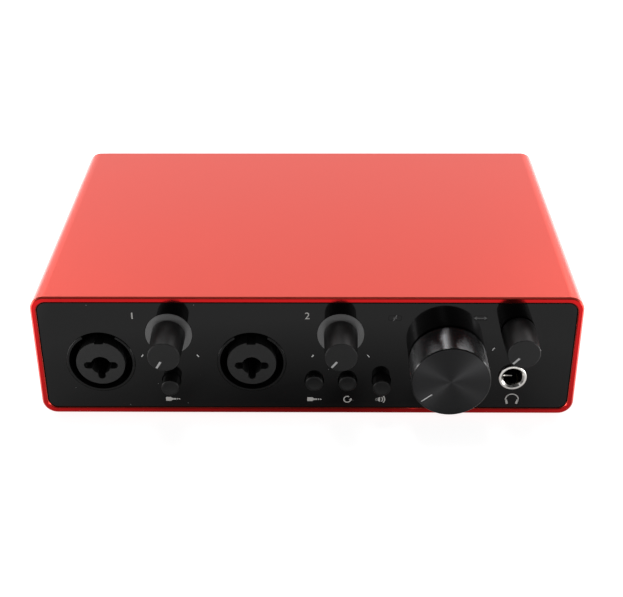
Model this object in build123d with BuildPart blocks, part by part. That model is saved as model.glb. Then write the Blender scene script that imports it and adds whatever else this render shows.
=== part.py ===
from build123d import *
from math import radians, tan
import os

# A two-channel desktop audio interface in an extruded sleeve.
# X runs to the right, Y to the rear and Z up. The origin is the middle of the footprint,
# on the surface that the feet stand on. Heights (z) below count from the sleeve's underside,
# and depths from its front rim or, on rear pieces, from its rear rim.

# ---- Driving dimensions, in millimetres ----

# Sleeve: an aluminium extrusion, open at both ends
sleeve_width = 175.0
sleeve_height = 44.25
sleeve_depth = 114.5
sleeve_corner_radius = 4.7
side_wall = 1.9
top_wall = 1.9
bottom_wall = 2.1
mouth_corner_radius = 3.3
rim_chamfer = 0.55
mouth_chamfer = 0.25
port_radius = 3.0
port_hole_radius = 1.25
port_inset = 2.8
guide_rib = 1.0
guide_overlap = 1.0
guide_clearance = 0.1

# Feet
foot_radius = 6.0
foot_height = 2.0
foot_chamfer = 0.5
foot_inset_x = 16.0
foot_inset_y = 13.0

# Fascia and the frame that carries it
panel_recess = 0.3
panel_clearance = 0.15
fascia_thickness = 2.0
fascia_chamfer = 0.2
frame_thickness = 2.0
hole_clearance = 0.1
shaft_hole_radius = 4.2
button_clearance = 0.3

# Boards
board_thickness = 1.6
main_board_lift = 1.9
board_edge_clearance = 0.3
main_board_setback = 0.6
control_board_depth = 13.0
control_board_gap = 1.4
control_board_top_margin = 1.6
post_radius = 2.6
post_centres = ((-57.5, 37.5), (-1.5, 37.5), (33.6, 37.5), (75.9, 37.5), (-36.2, 10.2), (34.2, 10.2))
board_screw_radius = 1.2
board_screw_head_radius = 2.3
board_screw_head_height = 1.4
board_screw_length = 6.0

# Controls: centres across the front
gain_xs = (-44.1, 10.9)
gain_z = 30.6
phones_x = 67.3
phones_z = 31.9
monitor_x = 45.4
monitor_z = 21.2
button_z = 12.85
button_xs = {"inst_1": -44.2, "inst_2": 2.4, "loopback": 13.25, "direct_monitor": 24.25}
latched_buttons = ("inst_2", "loopback")

# Small knobs
knob_reach = 13.5
knob_gap = 0.7
knob_face_radius = 5.1
knob_base_radius = 5.4
knob_edge_radius = 0.3
knob_socket_depth = 9.5

# Monitor knob, with an inlaid metal disc
monitor_knob_reach = 13.0
monitor_knob_radius = 12.5
monitor_edge_chamfer = 0.25
monitor_disc_radius = 12.1
monitor_disc_thickness = 0.5
monitor_skirt = 1.6
monitor_hub_radius = 4.8
monitor_roof = 3.2

# Potentiometers
pot_width = 9.8
pot_height = 11.4
pot_depth = 6.6
pot_bush_radius = 3.7
pot_bush_gap = 0.3
shaft_radius = 3.0
shaft_flat = 1.5
shaft_clearance = 0.05
shaft_end_play = 0.3

# Light rings round the gain knobs
halo_radius = 7.5
halo_proud = 0.1
halo_stem_radius = 6.0
halo_hole_radius = 4.4

# Push buttons and their latching switches
button_radius = 2.9
button_reach = 4.3
latch_travel = 2.6
button_body_length = 6.8
button_edge_radius = 0.35
button_dish_depth = 0.25
button_dish_radius = 2.2
plunger_width = 2.4
plunger_length = 5.0
plunger_clearance = 0.12
switch_width = 7.0
switch_depth = 7.2
switch_bore_depth = 5.8
phantom_reach = 3.6

# Combined XLR and jack sockets
combo_xs = (-66.7, -17.8)
combo_z = 19.95
combo_nose_radius = 11.15
combo_nose_proud = 0.2
combo_groove_radius = 10.3
combo_groove_depth = 16.0
combo_body_width = 23.0
combo_body_rise = 13.7
combo_body_corner = 2.0
combo_body_end = 34.0
combo_wall = 2.2
combo_shoulder_gap = 0.3
latch_gap_angle = 60.0
latch_gap_depth = 3.0
latch_slot_width = 6.0
latch_slot_rise = 1.5
latch_slot_depth = 12.0
insert_radius = 7.9
insert_proud = 0.8
insert_end = 26.0
insert_clearance = 0.05
insert_edge_radius = 0.35
key_width = 2.9
key_depth = 0.7
jack_drop = 0.8
jack_bore_radius = 3.25
pin_side_offset = 4.3
pin_low_offset = 3.9
pin_radius = 1.25
pin_depth = 15.0
contact_thickness = 0.45
contact_width = 1.6
contact_clearance = 0.07
contact_start = 4.0
contact_setback = 3.0

# Jack sockets: one for headphones, two for line outputs
headphone_x = 66.8
headphone_z = 14.65
jack_width = 15.6
jack_height = 16.4
jack_body_end = 31.0
jack_corner = 0.8
jack_hole_radius = 3.2
jack_relief = 0.2
jack_hole_depth = 29.0
ring_radius = 4.57
ring_proud = 1.0
ring_length = 6.6
ring_edge_radius = 0.45
ring_inner_chamfer = 0.35
spring_thickness = 0.35
spring_width = 1.6
spring_start = 5.6
spring_bulge = 1.3
spring_lean = 0.4
line_out_xs = {"left": -34.0, "right": -56.0}
line_out_z = 14.0
line_nose_radius = 4.6
line_nose_proud = 2.6
nut_width = 11.4
nut_thickness = 2.2
nut_clearance = 0.05

# USB-C socket
usb_x = 18.0
usb_width = 8.94
usb_height = 3.26
usb_wall = 0.3
usb_length = 7.4
tongue_width = 6.7
tongue_thickness = 0.7
tongue_length = 4.6

# Rear panel
rear_thickness = 2.0
rear_recess = 0.3
phantom_x = 44.0
phantom_z = 12.85
lock_x = 68.0
lock_z = 14.0
lock_width = 7.2
lock_height = 3.1
screw_hole_radius = 1.6
screw_head_radius = 2.1
screw_head_angle = 82.0
screw_shank_radius = 1.2
screw_shank_length = 8.0
screw_socket_width = 2.0
screw_socket_depth = 0.8

# Indicators
indicator_centres = ((28.05, 36.7), (55.05, 36.7))
lens_width = 4.0
lens_height = 1.7
lens_stem_radius = 0.75
led_width = 1.6
led_height = 1.0
led_depth = 0.7
led_gap = 0.3

# Parts on the main board, in a row of capacitors and a row of chips behind the front sockets
capacitor_xs = (-62.0, -50.0, -25.0, -13.0, 55.0, 67.0)
capacitor_radius = 4.0
capacitor_height = 9.0
capacitor_setback = 11.0
chip_widths = {-40.0: 7.0, -8.0: 14.0, 22.0: 10.0, 40.0: 7.0}
chip_height = 1.2
header_x = 47.4
header_width = 20.0
header_depth = 5.0
header_height = 7.0

# ---- Sizes and places that follow ----

cavity_width = sleeve_width - 2 * side_wall
cavity_height = sleeve_height - top_wall - bottom_wall
cavity_z = bottom_wall + cavity_height / 2
port_x = cavity_width / 2 - port_inset
port_zs = (bottom_wall + port_inset, sleeve_height - top_wall - port_inset)
port_centres = [(x, z) for x in (-port_x, port_x) for z in port_zs]

fascia_back = panel_recess + fascia_thickness
frame_back = fascia_back + frame_thickness
rear_mouth = rear_recess + rear_thickness
overall_depth = knob_reach + sleeve_depth + phantom_reach
front_rim = knob_reach - overall_depth / 2
rear_rim = front_rim + sleeve_depth

board_bottom = bottom_wall + main_board_lift
board_top = board_bottom + board_thickness
board_half_width = port_x - port_radius - board_edge_clearance
main_board_front = frame_back + main_board_setback
main_board_end = sleeve_depth - rear_mouth - main_board_setback
control_bottom = board_top + control_board_gap
control_top = sleeve_height - top_wall - control_board_top_margin
combo_shoulder = frame_back + combo_shoulder_gap
combo_body_height = combo_z + combo_body_rise - board_top
pot_front = control_board_depth - pot_depth
pot_bush_length = pot_front - frame_back - pot_bush_gap
switch_front = control_board_depth - switch_depth
phantom_switch_front = switch_front + button_reach - phantom_reach
capacitor_depth = combo_body_end + capacitor_setback
line_body_front = sleeve_depth - rear_recess - jack_body_end
chip_depth = (capacitor_depth + capacitor_radius + line_body_front) / 2
nose_hole_radius = combo_nose_radius + hole_clearance
halo_hole = halo_radius + hole_clearance
button_hole = button_radius + button_clearance
ring_hole = ring_radius + hole_clearance
screw_head_depth = (screw_head_radius - screw_shank_radius) / tan(radians(screw_head_angle / 2))
knob_length = knob_reach - (knob_gap - panel_recess)
monitor_knob_length = monitor_knob_reach - (knob_gap - panel_recess)


# ---- Planes and small helpers ----

def facing_front(depth, x=0.0, z=0.0):
    """Plane that faces the user, at a depth behind the sleeve's front rim."""
    return Plane(origin=(x, front_rim + depth, foot_height + z), x_dir=(1, 0, 0), z_dir=(0, -1, 0))


def facing_rear(depth, x=0.0, z=0.0):
    """Plane that faces the rear, at a depth inside the sleeve's rear rim."""
    return Plane(origin=(x, rear_rim - depth, foot_height + z), x_dir=(-1, 0, 0), z_dir=(0, 1, 0))


def profile_plane(face):
    """Plane for a turned outline: its x is the radius and its y points out of the face."""
    return Plane(origin=face.origin, x_dir=face.x_dir, z_dir=face.x_dir.cross(face.z_dir))


def save(piece, name):
    """Label a piece and write it under its own name."""
    piece.label = name
    export_step(piece, f"parts/{name}.step")


def insert_outline():
    """Sketch of a socket insert's front: a disc with its key notch, jack hole and pin channels."""
    Circle(insert_radius)
    with Locations((0, insert_radius)):
        Rectangle(key_width, 2 * key_depth, mode=Mode.SUBTRACT)
    jack_openings(mode=Mode.SUBTRACT)


def jack_openings(mode):
    """Sketch of the jack hole and the three pin channels that open into it."""
    with Locations((0, -jack_drop)):
        Circle(jack_bore_radius, mode=mode)
        Rectangle(2 * pin_side_offset, 2 * pin_radius, mode=mode)
    with Locations((0, -jack_drop - pin_low_offset / 2)):
        Rectangle(2 * pin_radius, pin_low_offset, mode=mode)
    with Locations(*pin_places(0)):
        Circle(pin_radius, mode=mode)


def pin_places(outward):
    """Centres of the three pins, or of a place that lies further outward from each."""
    side = pin_side_offset + outward
    low = pin_low_offset + outward
    return [(-side, -jack_drop), (side, -jack_drop), (0, -jack_drop - low)]


# ---- Sleeve, feet and panels ----

def make_sleeve():
    """Extrusion with a screw port in each corner and a pair of card guides on each side."""
    with BuildPart() as sleeve:
        with BuildSketch(facing_front(0, z=sleeve_height / 2)):
            RectangleRounded(sleeve_width, sleeve_height, sleeve_corner_radius)
        extrude(amount=-sleeve_depth)
        ends = sleeve.faces().filter_by(Axis.Y)
        chamfer(ends.edges(), rim_chamfer)
        with BuildSketch(facing_front(0, z=cavity_z)):
            RectangleRounded(cavity_width, cavity_height, mouth_corner_radius)
        extrude(amount=-sleeve_depth, mode=Mode.SUBTRACT)
        mouths = [rim.inner_wires()[0].edges() for rim in sleeve.faces().filter_by(Axis.Y)]
        chamfer(mouths[0] + mouths[1], mouth_chamfer)

        rib_inner = board_half_width - guide_overlap
        rib_length = port_x - port_radius / 2 - rib_inner
        rib_x = rib_inner + rib_length / 2
        rib_zs = (
            board_bottom - guide_clearance - guide_rib / 2,
            board_top + guide_clearance + guide_rib / 2,
        )
        ribbed_length = sleeve_depth - frame_back - rear_mouth
        with BuildSketch(facing_front(frame_back)):
            with Locations(*port_centres):
                Circle(port_radius)
            with Locations(*[(x, z) for x in (-rib_x, rib_x) for z in rib_zs]):
                Rectangle(rib_length, guide_rib)
            with Locations(*port_centres):
                Circle(port_hole_radius, mode=Mode.SUBTRACT)
        extrude(amount=-ribbed_length)
    return sleeve.part


def make_foot(x, depth):
    """Rubber foot stuck to the sleeve's underside, with a chamfered tread."""
    with BuildPart() as foot:
        with BuildSketch(Plane(origin=(x, front_rim + depth, 0))):
            Circle(foot_radius)
        extrude(amount=foot_height)
        chamfer(foot.edges().filter_by(GeomType.CIRCLE).group_by(Axis.Z)[0], foot_chamfer)
    return foot.part


def panel_outline():
    """Sketch of a panel that fills the sleeve's mouth."""
    with Locations((0, cavity_z)):
        RectangleRounded(
            cavity_width - 2 * panel_clearance,
            cavity_height - 2 * panel_clearance,
            mouth_corner_radius - panel_clearance,
        )


def control_holes(gain_radius):
    """Sketch of the holes that the fascia and the frame share, cut from the outline."""
    with Locations(*[(x, combo_z) for x in combo_xs]):
        Circle(nose_hole_radius, mode=Mode.SUBTRACT)
    with Locations(*[(x, gain_z) for x in gain_xs]):
        Circle(gain_radius, mode=Mode.SUBTRACT)
    with Locations((phones_x, phones_z), (monitor_x, monitor_z)):
        Circle(shaft_hole_radius, mode=Mode.SUBTRACT)
    with Locations(*[(x, button_z) for x in button_xs.values()]):
        Circle(button_hole, mode=Mode.SUBTRACT)
    with Locations((headphone_x, headphone_z)):
        Circle(ring_hole, mode=Mode.SUBTRACT)


def make_fascia():
    """Glossy front panel, cut for every control, socket and indicator."""
    with BuildPart() as fascia:
        with BuildSketch(facing_front(panel_recess)):
            panel_outline()
        extrude(amount=-fascia_thickness)
        front_edges = fascia.faces().sort_by(Axis.Y)[0].edges()
        chamfer(front_edges, fascia_chamfer)
        with BuildSketch(facing_front(panel_recess)) as openings:
            panel_outline()
            control_holes(halo_hole)
            with Locations(*indicator_centres):
                RectangleRounded(
                    lens_width + 2 * contact_clearance,
                    lens_height + 2 * contact_clearance,
                    lens_height / 3,
                    mode=Mode.SUBTRACT,
                )
        extrude(amount=-fascia_thickness, mode=Mode.INTERSECT)
    return fascia.part


def make_frame():
    """Moulded frame behind the fascia, with posts for the control board."""
    with BuildPart() as frame:
        with BuildSketch(facing_front(fascia_back)):
            panel_outline()
            control_holes(halo_stem_radius + hole_clearance)
            with Locations(*indicator_centres):
                Circle(lens_stem_radius + hole_clearance, mode=Mode.SUBTRACT)
        extrude(amount=-frame_thickness)
        with BuildSketch(facing_front(frame_back)):
            with Locations(*post_centres):
                Circle(post_radius)
        extrude(amount=-(control_board_depth - frame_back))
        with BuildSketch(facing_front(control_board_depth)):
            with Locations(*post_centres):
                Circle(board_screw_radius + contact_clearance)
        extrude(amount=board_screw_length, mode=Mode.SUBTRACT)
        with Locations(facing_front(fascia_back)):
            with Locations(*port_centres):
                CounterSinkHole(
                    screw_hole_radius,
                    screw_head_radius + hole_clearance,
                    frame_thickness,
                    screw_head_angle,
                )
    return frame.part


def make_rear_panel():
    """Rear panel with the output sockets, USB, phantom switch, lock slot and corner screws."""
    with BuildPart() as panel:
        with BuildSketch(facing_front(sleeve_depth - rear_mouth)):
            panel_outline()
            with Locations(*[(x, line_out_z) for x in line_out_xs.values()]):
                Circle(line_nose_radius + hole_clearance, mode=Mode.SUBTRACT)
            with Locations((usb_x, board_top + usb_height / 2)):
                SlotOverall(
                    usb_width + 2 * hole_clearance,
                    usb_height + 2 * hole_clearance,
                    mode=Mode.SUBTRACT,
                )
            with Locations((phantom_x, phantom_z)):
                Circle(button_hole, mode=Mode.SUBTRACT)
            with Locations((lock_x, lock_z)):
                RectangleRounded(lock_width, lock_height, lock_height / 3, mode=Mode.SUBTRACT)
        extrude(amount=-rear_thickness)
        with Locations(facing_rear(rear_recess)):
            with Locations(*port_centres):
                CounterSinkHole(
                    screw_hole_radius,
                    screw_head_radius + hole_clearance,
                    rear_thickness,
                    screw_head_angle,
                )
    return panel.part


def make_screws(face):
    """Four countersunk screws in a panel's corners, with hexagon sockets in their heads."""
    with BuildPart() as screws:
        with BuildSketch(face):
            with Locations(*port_centres):
                Circle(screw_shank_radius)
        extrude(amount=-screw_shank_length)
        for x, z in port_centres:
            head = face.shift_origin(face.from_local_coords((x, z, 0)))
            with BuildSketch(profile_plane(head)):
                with BuildLine():
                    Polyline(
                        (0, 0),
                        (screw_head_radius, 0),
                        (screw_shank_radius, -screw_head_depth),
                        (0, -screw_head_depth),
                        close=True,
                    )
                make_face()
            revolve(axis=Axis(head.origin, head.z_dir))
        with BuildSketch(face):
            with Locations(*port_centres):
                RegularPolygon(screw_socket_width / 2, 6, major_radius=False)
        extrude(amount=-screw_socket_depth, mode=Mode.SUBTRACT)
    return screws.part


# ---- Boards ----

def make_main_board():
    """Main board, lying in the card guides from the frame to the rear panel."""
    with BuildPart() as board:
        with BuildSketch(facing_front(main_board_front)):
            with Locations((0, board_bottom + board_thickness / 2)):
                Rectangle(2 * board_half_width, board_thickness)
        extrude(amount=-(main_board_end - main_board_front))
    return board.part


def make_control_board():
    """Upright board behind the controls, cut away round the sockets that stand on the main board."""
    with BuildPart() as board:
        with BuildSketch(facing_front(control_board_depth)):
            with Locations((0, (control_bottom + control_top) / 2)):
                Rectangle(2 * board_half_width, control_top - control_bottom)
            combo_notch = combo_z + combo_body_rise + control_board_gap
            with Locations(*[(x, combo_notch) for x in combo_xs]):
                Rectangle(
                    combo_body_width + 2 * control_board_gap,
                    combo_notch,
                    align=(Align.CENTER, Align.MAX),
                    mode=Mode.SUBTRACT,
                )
            jack_notch = board_top + jack_height + control_board_gap
            with Locations((headphone_x, jack_notch)):
                Rectangle(
                    jack_width + 2 * control_board_gap,
                    jack_notch,
                    align=(Align.CENTER, Align.MAX),
                    mode=Mode.SUBTRACT,
                )
            with Locations(*post_centres):
                Circle(board_screw_radius + hole_clearance, mode=Mode.SUBTRACT)
        extrude(amount=-board_thickness)
    return board.part


def make_board_screws():
    """Pan-head screws that hold the control board on the frame's posts."""
    with BuildPart() as screws:
        with BuildSketch(facing_front(control_board_depth + board_thickness)):
            with Locations(*post_centres):
                Circle(board_screw_head_radius)
        extrude(amount=-board_screw_head_height)
        with BuildSketch(facing_front(control_board_depth + board_thickness)):
            with Locations(*post_centres):
                Circle(board_screw_radius)
        extrude(amount=board_screw_length)
    return screws.part


def make_link_header():
    """Header that joins the control board to the main board in the corner between them."""
    with BuildPart() as header:
        with BuildSketch(facing_front(control_board_depth + board_thickness)):
            with Locations((header_x, board_top)):
                Rectangle(header_width, header_height, align=(Align.CENTER, Align.MIN))
        extrude(amount=-header_depth)
    return header.part


def make_capacitors():
    """Electrolytic capacitors standing behind the sockets."""
    with BuildPart() as capacitors:
        with BuildSketch(Plane.XY.offset(foot_height + board_top)):
            with Locations(*[(x, front_rim + capacitor_depth) for x in capacitor_xs]):
                Circle(capacitor_radius)
        extrude(amount=capacitor_height)
    return capacitors.part


def make_chips():
    """Processor, converters and amplifiers, flat on the main board."""
    with BuildPart() as chips:
        with BuildSketch(Plane.XY.offset(foot_height + board_top)):
            for x, width in chip_widths.items():
                with Locations((x, front_rim + chip_depth)):
                    Rectangle(width, width)
        extrude(amount=chip_height)
    return chips.part


def make_leds():
    """Small light-emitting diodes on the control board: one per indicator, two per light ring."""
    ring_places = [(x + side * halo_stem_radius, gain_z) for x in gain_xs for side in (-1, 1)]
    with BuildPart() as leds:
        with BuildSketch(facing_front(control_board_depth)):
            with Locations(*indicator_centres, *ring_places):
                Rectangle(led_width, led_height)
        extrude(amount=led_depth)
    return leds.part


# ---- Combined XLR and jack sockets ----

def make_combo_shell(x):
    """Socket housing: a round nose with the plug's groove, on a body that stands on the board."""
    with BuildPart() as shell:
        with BuildSketch(facing_front(combo_shoulder, x)):
            with Locations((0, board_top)):
                RectangleRounded(
                    combo_body_width,
                    combo_body_height,
                    combo_body_corner,
                    align=(Align.CENTER, Align.MIN),
                )
        extrude(amount=-(combo_body_end - combo_shoulder))
        nose_front = panel_recess - combo_nose_proud
        with BuildSketch(facing_front(nose_front, x, combo_z)):
            Circle(combo_nose_radius)
        extrude(amount=-(combo_shoulder - nose_front))
        chamfer(shell.faces().sort_by(Axis.Y)[0].edges(), fascia_chamfer)
        with BuildSketch(facing_front(nose_front, x, combo_z)):
            Circle(combo_groove_radius)
        extrude(amount=-(combo_groove_depth - nose_front), mode=Mode.SUBTRACT)
        # The lip is open at the top, where the plug's latch goes in
        with BuildSketch(facing_front(nose_front, x, combo_z)):
            Circle(combo_nose_radius + hole_clearance)
            with BuildLine():
                reach = 2 * combo_nose_radius
                left = Vector(reach, 0).rotate(Axis.Z, 90 + latch_gap_angle / 2)
                right = Vector(reach, 0).rotate(Axis.Z, 90 - latch_gap_angle / 2)
                Polyline((0, 0), left, right, close=True)
            make_face(mode=Mode.INTERSECT)
        extrude(amount=-latch_gap_depth, mode=Mode.SUBTRACT)
        with BuildSketch(facing_front(nose_front, x, combo_z)):
            with Locations((0, combo_groove_radius)):
                Rectangle(latch_slot_width, 2 * latch_slot_rise)
        extrude(amount=-latch_slot_depth, mode=Mode.SUBTRACT)
        # Seat of the insert, and the chamber behind it, open below for the contacts' legs
        with BuildSketch(facing_front(combo_groove_depth, x, combo_z)):
            Circle(insert_radius + insert_clearance)
        extrude(amount=-(insert_end - combo_groove_depth), mode=Mode.SUBTRACT)
        chamber_width = 2 * insert_radius
        chamber_top = combo_z + insert_radius
        with BuildSketch(facing_front(insert_end, x)):
            with Locations((0, board_top)):
                Rectangle(chamber_width, chamber_top - board_top, align=(Align.CENTER, Align.MIN))
        extrude(amount=-(combo_body_end - combo_wall - insert_end), mode=Mode.SUBTRACT)
    return shell.part


def make_combo_insert(x):
    """Round insert with the key notch, the jack hole and three pin channels round it."""
    insert_front = panel_recess - insert_proud
    with BuildPart() as insert:
        with BuildSketch(facing_front(insert_front, x, combo_z)):
            insert_outline()
        extrude(amount=-pin_depth)
        with BuildSketch(facing_front(insert_front + pin_depth, x, combo_z)):
            Circle(insert_radius)
            with Locations((0, -jack_drop)):
                Circle(jack_bore_radius, mode=Mode.SUBTRACT)
        extrude(amount=-(insert_end - insert_front - pin_depth))
        with BuildSketch(facing_front(contact_start - contact_clearance, x, combo_z)):
            slot_radial = contact_thickness + 2 * contact_clearance
            slot_across = contact_width + 2 * contact_clearance
            sides, low = contact_sections()
            with Locations(*sides):
                Rectangle(slot_radial, slot_across)
            with Locations(low):
                Rectangle(slot_across, slot_radial)
        extrude(amount=-insert_end, mode=Mode.SUBTRACT)
    return insert.part


def contact_sections():
    """Centres of the contact strips just outside the pins: the two side ones, then the low one."""
    outward = pin_radius + contact_thickness / 2
    left, right, low = pin_places(outward)
    return [left, right], low


def make_combo_contacts(x):
    """Three pin contacts that run back through the insert and down to the board, and a tip spring."""
    sides, low = contact_sections()
    strip_end = combo_body_end - combo_wall - contact_setback
    leg_plane = facing_front(strip_end, x)
    with BuildPart() as contacts:
        with BuildSketch(facing_front(contact_start, x, combo_z)):
            with Locations(*sides):
                Rectangle(contact_thickness, contact_width)
            with Locations(low):
                Rectangle(contact_width, contact_thickness)
        extrude(amount=-(strip_end - contact_start))
        with BuildSketch(leg_plane):
            for strip_x, strip_z in sides:
                leg_top = combo_z + strip_z + contact_width / 2
                with Locations((strip_x, board_top)):
                    Rectangle(contact_thickness, leg_top - board_top, align=(Align.CENTER, Align.MIN))
            low_top = combo_z + low[1] + contact_thickness / 2
            with Locations((0, board_top)):
                Rectangle(contact_width, low_top - board_top, align=(Align.CENTER, Align.MIN))
        extrude(amount=-contact_thickness)
        tip_x = jack_bore_radius + contact_thickness
        with BuildSketch(facing_front(insert_end + 2 * contact_width, x)):
            with Locations((tip_x, board_top)):
                Rectangle(
                    contact_thickness,
                    combo_z - jack_drop + contact_width - board_top,
                    align=(Align.CENTER, Align.MIN),
                )
        extrude(amount=contact_width)
    return contacts.part


# ---- Jack sockets ----

def make_jack_housing(face, axis_height, nose_radius, nose_proud, shoulder):
    """Jack body on the main board behind a panel's face, with a nose through the panel if it has one.

    The face's origin is on the jack's axis.
    """
    with BuildPart() as housing:
        with BuildSketch(face.offset(-shoulder)):
            with Locations((0, -axis_height)):
                RectangleRounded(jack_width, jack_height, jack_corner, align=(Align.CENTER, Align.MIN))
        extrude(amount=-(jack_body_end - shoulder))
        with BuildSketch(face.offset(-shoulder)):
            Circle(jack_hole_radius + jack_relief)
        extrude(amount=-(jack_hole_depth - shoulder), mode=Mode.SUBTRACT)
        if nose_proud:
            with BuildSketch(face.offset(nose_proud)):
                Circle(nose_radius)
                Circle(jack_hole_radius, mode=Mode.SUBTRACT)
            extrude(amount=-(shoulder + nose_proud))
        else:
            with BuildSketch(face.offset(-shoulder)):
                Circle(ring_radius + insert_clearance)
            extrude(amount=-(ring_length - ring_proud - shoulder), mode=Mode.SUBTRACT)
        # Side slot that holds the contact spring
        with BuildSketch(face.offset(-spring_start)):
            with Locations((-jack_hole_radius, 0)):
                Rectangle(
                    2 * (jack_relief + spring_thickness + 2 * contact_clearance),
                    spring_width + 2 * contact_clearance,
                )
        extrude(amount=-(jack_hole_depth - spring_start), mode=Mode.SUBTRACT)
    return housing.part


def make_jack_springs(*faces):
    """Leaf spring along one side of each jack's bore, bowed inwards to meet the plug."""
    start = -(spring_start + contact_clearance)
    end = -(jack_hole_depth - contact_clearance)
    middle = (start + end) / 2
    outer = -(jack_hole_radius + jack_relief + spring_thickness + contact_clearance)
    inner = outer + spring_thickness
    with BuildPart() as springs:
        for face in faces:
            with BuildSketch(profile_plane(face)):
                with BuildLine():
                    Polyline((outer, middle), (outer, end), (inner, end), (inner, middle))
                    Spline(
                        (inner, middle),
                        (inner + spring_bulge, start),
                        tangents=((0, 1), (spring_lean, 1)),
                    )
                    Line((inner + spring_bulge, start), (outer + spring_bulge, start))
                    Spline(
                        (outer + spring_bulge, start),
                        (outer, middle),
                        tangents=((-spring_lean, -1), (0, -1)),
                    )
                make_face()
            extrude(amount=spring_width / 2, both=True)
    return springs.part


def make_headphone_ring(face):
    """Plated ring that lines the headphone hole and stands a little proud of the fascia."""
    with BuildPart() as ring:
        with BuildSketch(face.offset(ring_proud)):
            Circle(ring_radius)
            Circle(jack_hole_radius, mode=Mode.SUBTRACT)
        extrude(amount=-ring_length)
        front = ring.faces().sort_by(Axis.Y)[0]
        fillet(front.outer_wire().edges(), ring_edge_radius)
        front = ring.faces().sort_by(Axis.Y)[0]
        chamfer(front.inner_wires()[0].edges(), ring_inner_chamfer)
    return ring.part


def make_nut(face):
    """Hexagonal nut that pulls a line output's body against the rear panel."""
    with BuildPart() as nut:
        with BuildSketch(face):
            RegularPolygon(nut_width / 2, 6, major_radius=False)
            Circle(line_nose_radius + nut_clearance, mode=Mode.SUBTRACT)
        extrude(amount=nut_thickness)
    return nut.part


# ---- USB socket ----

def make_usb_shell():
    """Folded steel shell of the USB-C socket, flush with the rear panel."""
    with BuildPart() as shell:
        with BuildSketch(facing_rear(rear_recess, usb_x, board_top + usb_height / 2)):
            SlotOverall(usb_width, usb_height)
            SlotOverall(usb_width - 2 * usb_wall, usb_height - 2 * usb_wall, mode=Mode.SUBTRACT)
        extrude(amount=-usb_length)
    return shell.part


def make_usb_tongue():
    """Contact tongue of the USB-C socket on its moulded base."""
    with BuildPart() as tongue:
        with BuildSketch(facing_rear(rear_recess + usb_length, usb_x, board_top + usb_height / 2)):
            SlotOverall(
                usb_width - 2 * (usb_wall + contact_clearance),
                usb_height - 2 * (usb_wall + contact_clearance),
            )
        extrude(amount=usb_length - tongue_length - 1)
        with BuildSketch(facing_rear(rear_recess + usb_length, usb_x, board_top + usb_height / 2)):
            Rectangle(tongue_width, tongue_thickness)
        extrude(amount=usb_length - 1)
    return tongue.part


# ---- Controls ----

def make_halo(x):
    """Translucent ring that lights up round a gain knob, stepped to seat on the frame."""
    with BuildPart() as halo:
        with BuildSketch(facing_front(panel_recess - halo_proud, x, gain_z)):
            Circle(halo_radius)
        extrude(amount=-(fascia_thickness + halo_proud))
        with BuildSketch(facing_front(fascia_back, x, gain_z)):
            Circle(halo_stem_radius)
        extrude(amount=-frame_thickness)
        with BuildSketch(facing_front(panel_recess - halo_proud, x, gain_z)):
            Circle(halo_hole_radius)
        extrude(amount=-(frame_back - panel_recess + halo_proud), mode=Mode.SUBTRACT)
    return halo.part


def make_lenses():
    """Two light pipes: a small window in the fascia on a stem that reaches back to the diode."""
    stem_end = control_board_depth - led_depth - led_gap
    with BuildPart() as lenses:
        with BuildSketch(facing_front(panel_recess)):
            with Locations(*indicator_centres):
                RectangleRounded(lens_width, lens_height, lens_height / 3)
        extrude(amount=-fascia_thickness)
        with BuildSketch(facing_front(fascia_back)):
            with Locations(*indicator_centres):
                Circle(lens_stem_radius)
        extrude(amount=-(stem_end - fascia_back))
    return lenses.part


def make_pot(x, z):
    """Potentiometer housing on the control board, with a bush for its shaft."""
    with BuildPart() as pot:
        with BuildSketch(facing_front(pot_front, x, z)):
            RectangleRounded(pot_width, pot_height, pot_width / 10)
        extrude(amount=-pot_depth)
        with BuildSketch(facing_front(pot_front, x, z)):
            Circle(pot_bush_radius)
        extrude(amount=pot_bush_length)
        with BuildSketch(facing_front(pot_front - pot_bush_length, x, z)):
            Circle(shaft_radius + shaft_clearance)
        extrude(amount=-(pot_depth + pot_bush_length - 2 * shaft_end_play), mode=Mode.SUBTRACT)
    return pot.part


def make_shaft(x, z, knob_base, tip):
    """Potentiometer shaft, round in its bush and flatted where the knob sits on it."""
    rear = control_board_depth - 3 * shaft_end_play
    with BuildPart() as shaft:
        with BuildSketch(facing_front(rear, x, z)):
            Circle(shaft_radius)
        extrude(amount=rear - tip)
        with BuildSketch(facing_front(knob_base, x, z)):
            with Locations((0, shaft_flat)):
                Rectangle(2 * shaft_radius, shaft_radius, align=(Align.CENTER, Align.MIN))
        extrude(amount=knob_base - tip, mode=Mode.SUBTRACT)
    return shaft.part


def shaft_socket():
    """Sketch of the D-shaped socket that a shaft fits."""
    Circle(shaft_radius + shaft_clearance)
    with Locations((0, shaft_flat + shaft_clearance)):
        Rectangle(
            3 * shaft_radius,
            shaft_radius,
            align=(Align.CENTER, Align.MIN),
            mode=Mode.SUBTRACT,
        )


def make_knob(x, z):
    """Small tapered knob with a softened front edge and a D-shaped socket."""
    base = facing_front(panel_recess - knob_gap, x, z)
    with BuildPart() as knob:
        with BuildSketch(profile_plane(base)):
            with BuildLine():
                Polyline(
                    (0, 0),
                    (knob_base_radius, 0),
                    (knob_face_radius, knob_length),
                    (0, knob_length),
                    close=True,
                )
            make_face()
        revolve(axis=Axis(base.origin, base.z_dir))
        fillet(knob.faces().sort_by(Axis.Y)[0].edges(), knob_edge_radius)
        with BuildSketch(base):
            shaft_socket()
        extrude(amount=knob_socket_depth, mode=Mode.SUBTRACT)
    return knob.part


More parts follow.
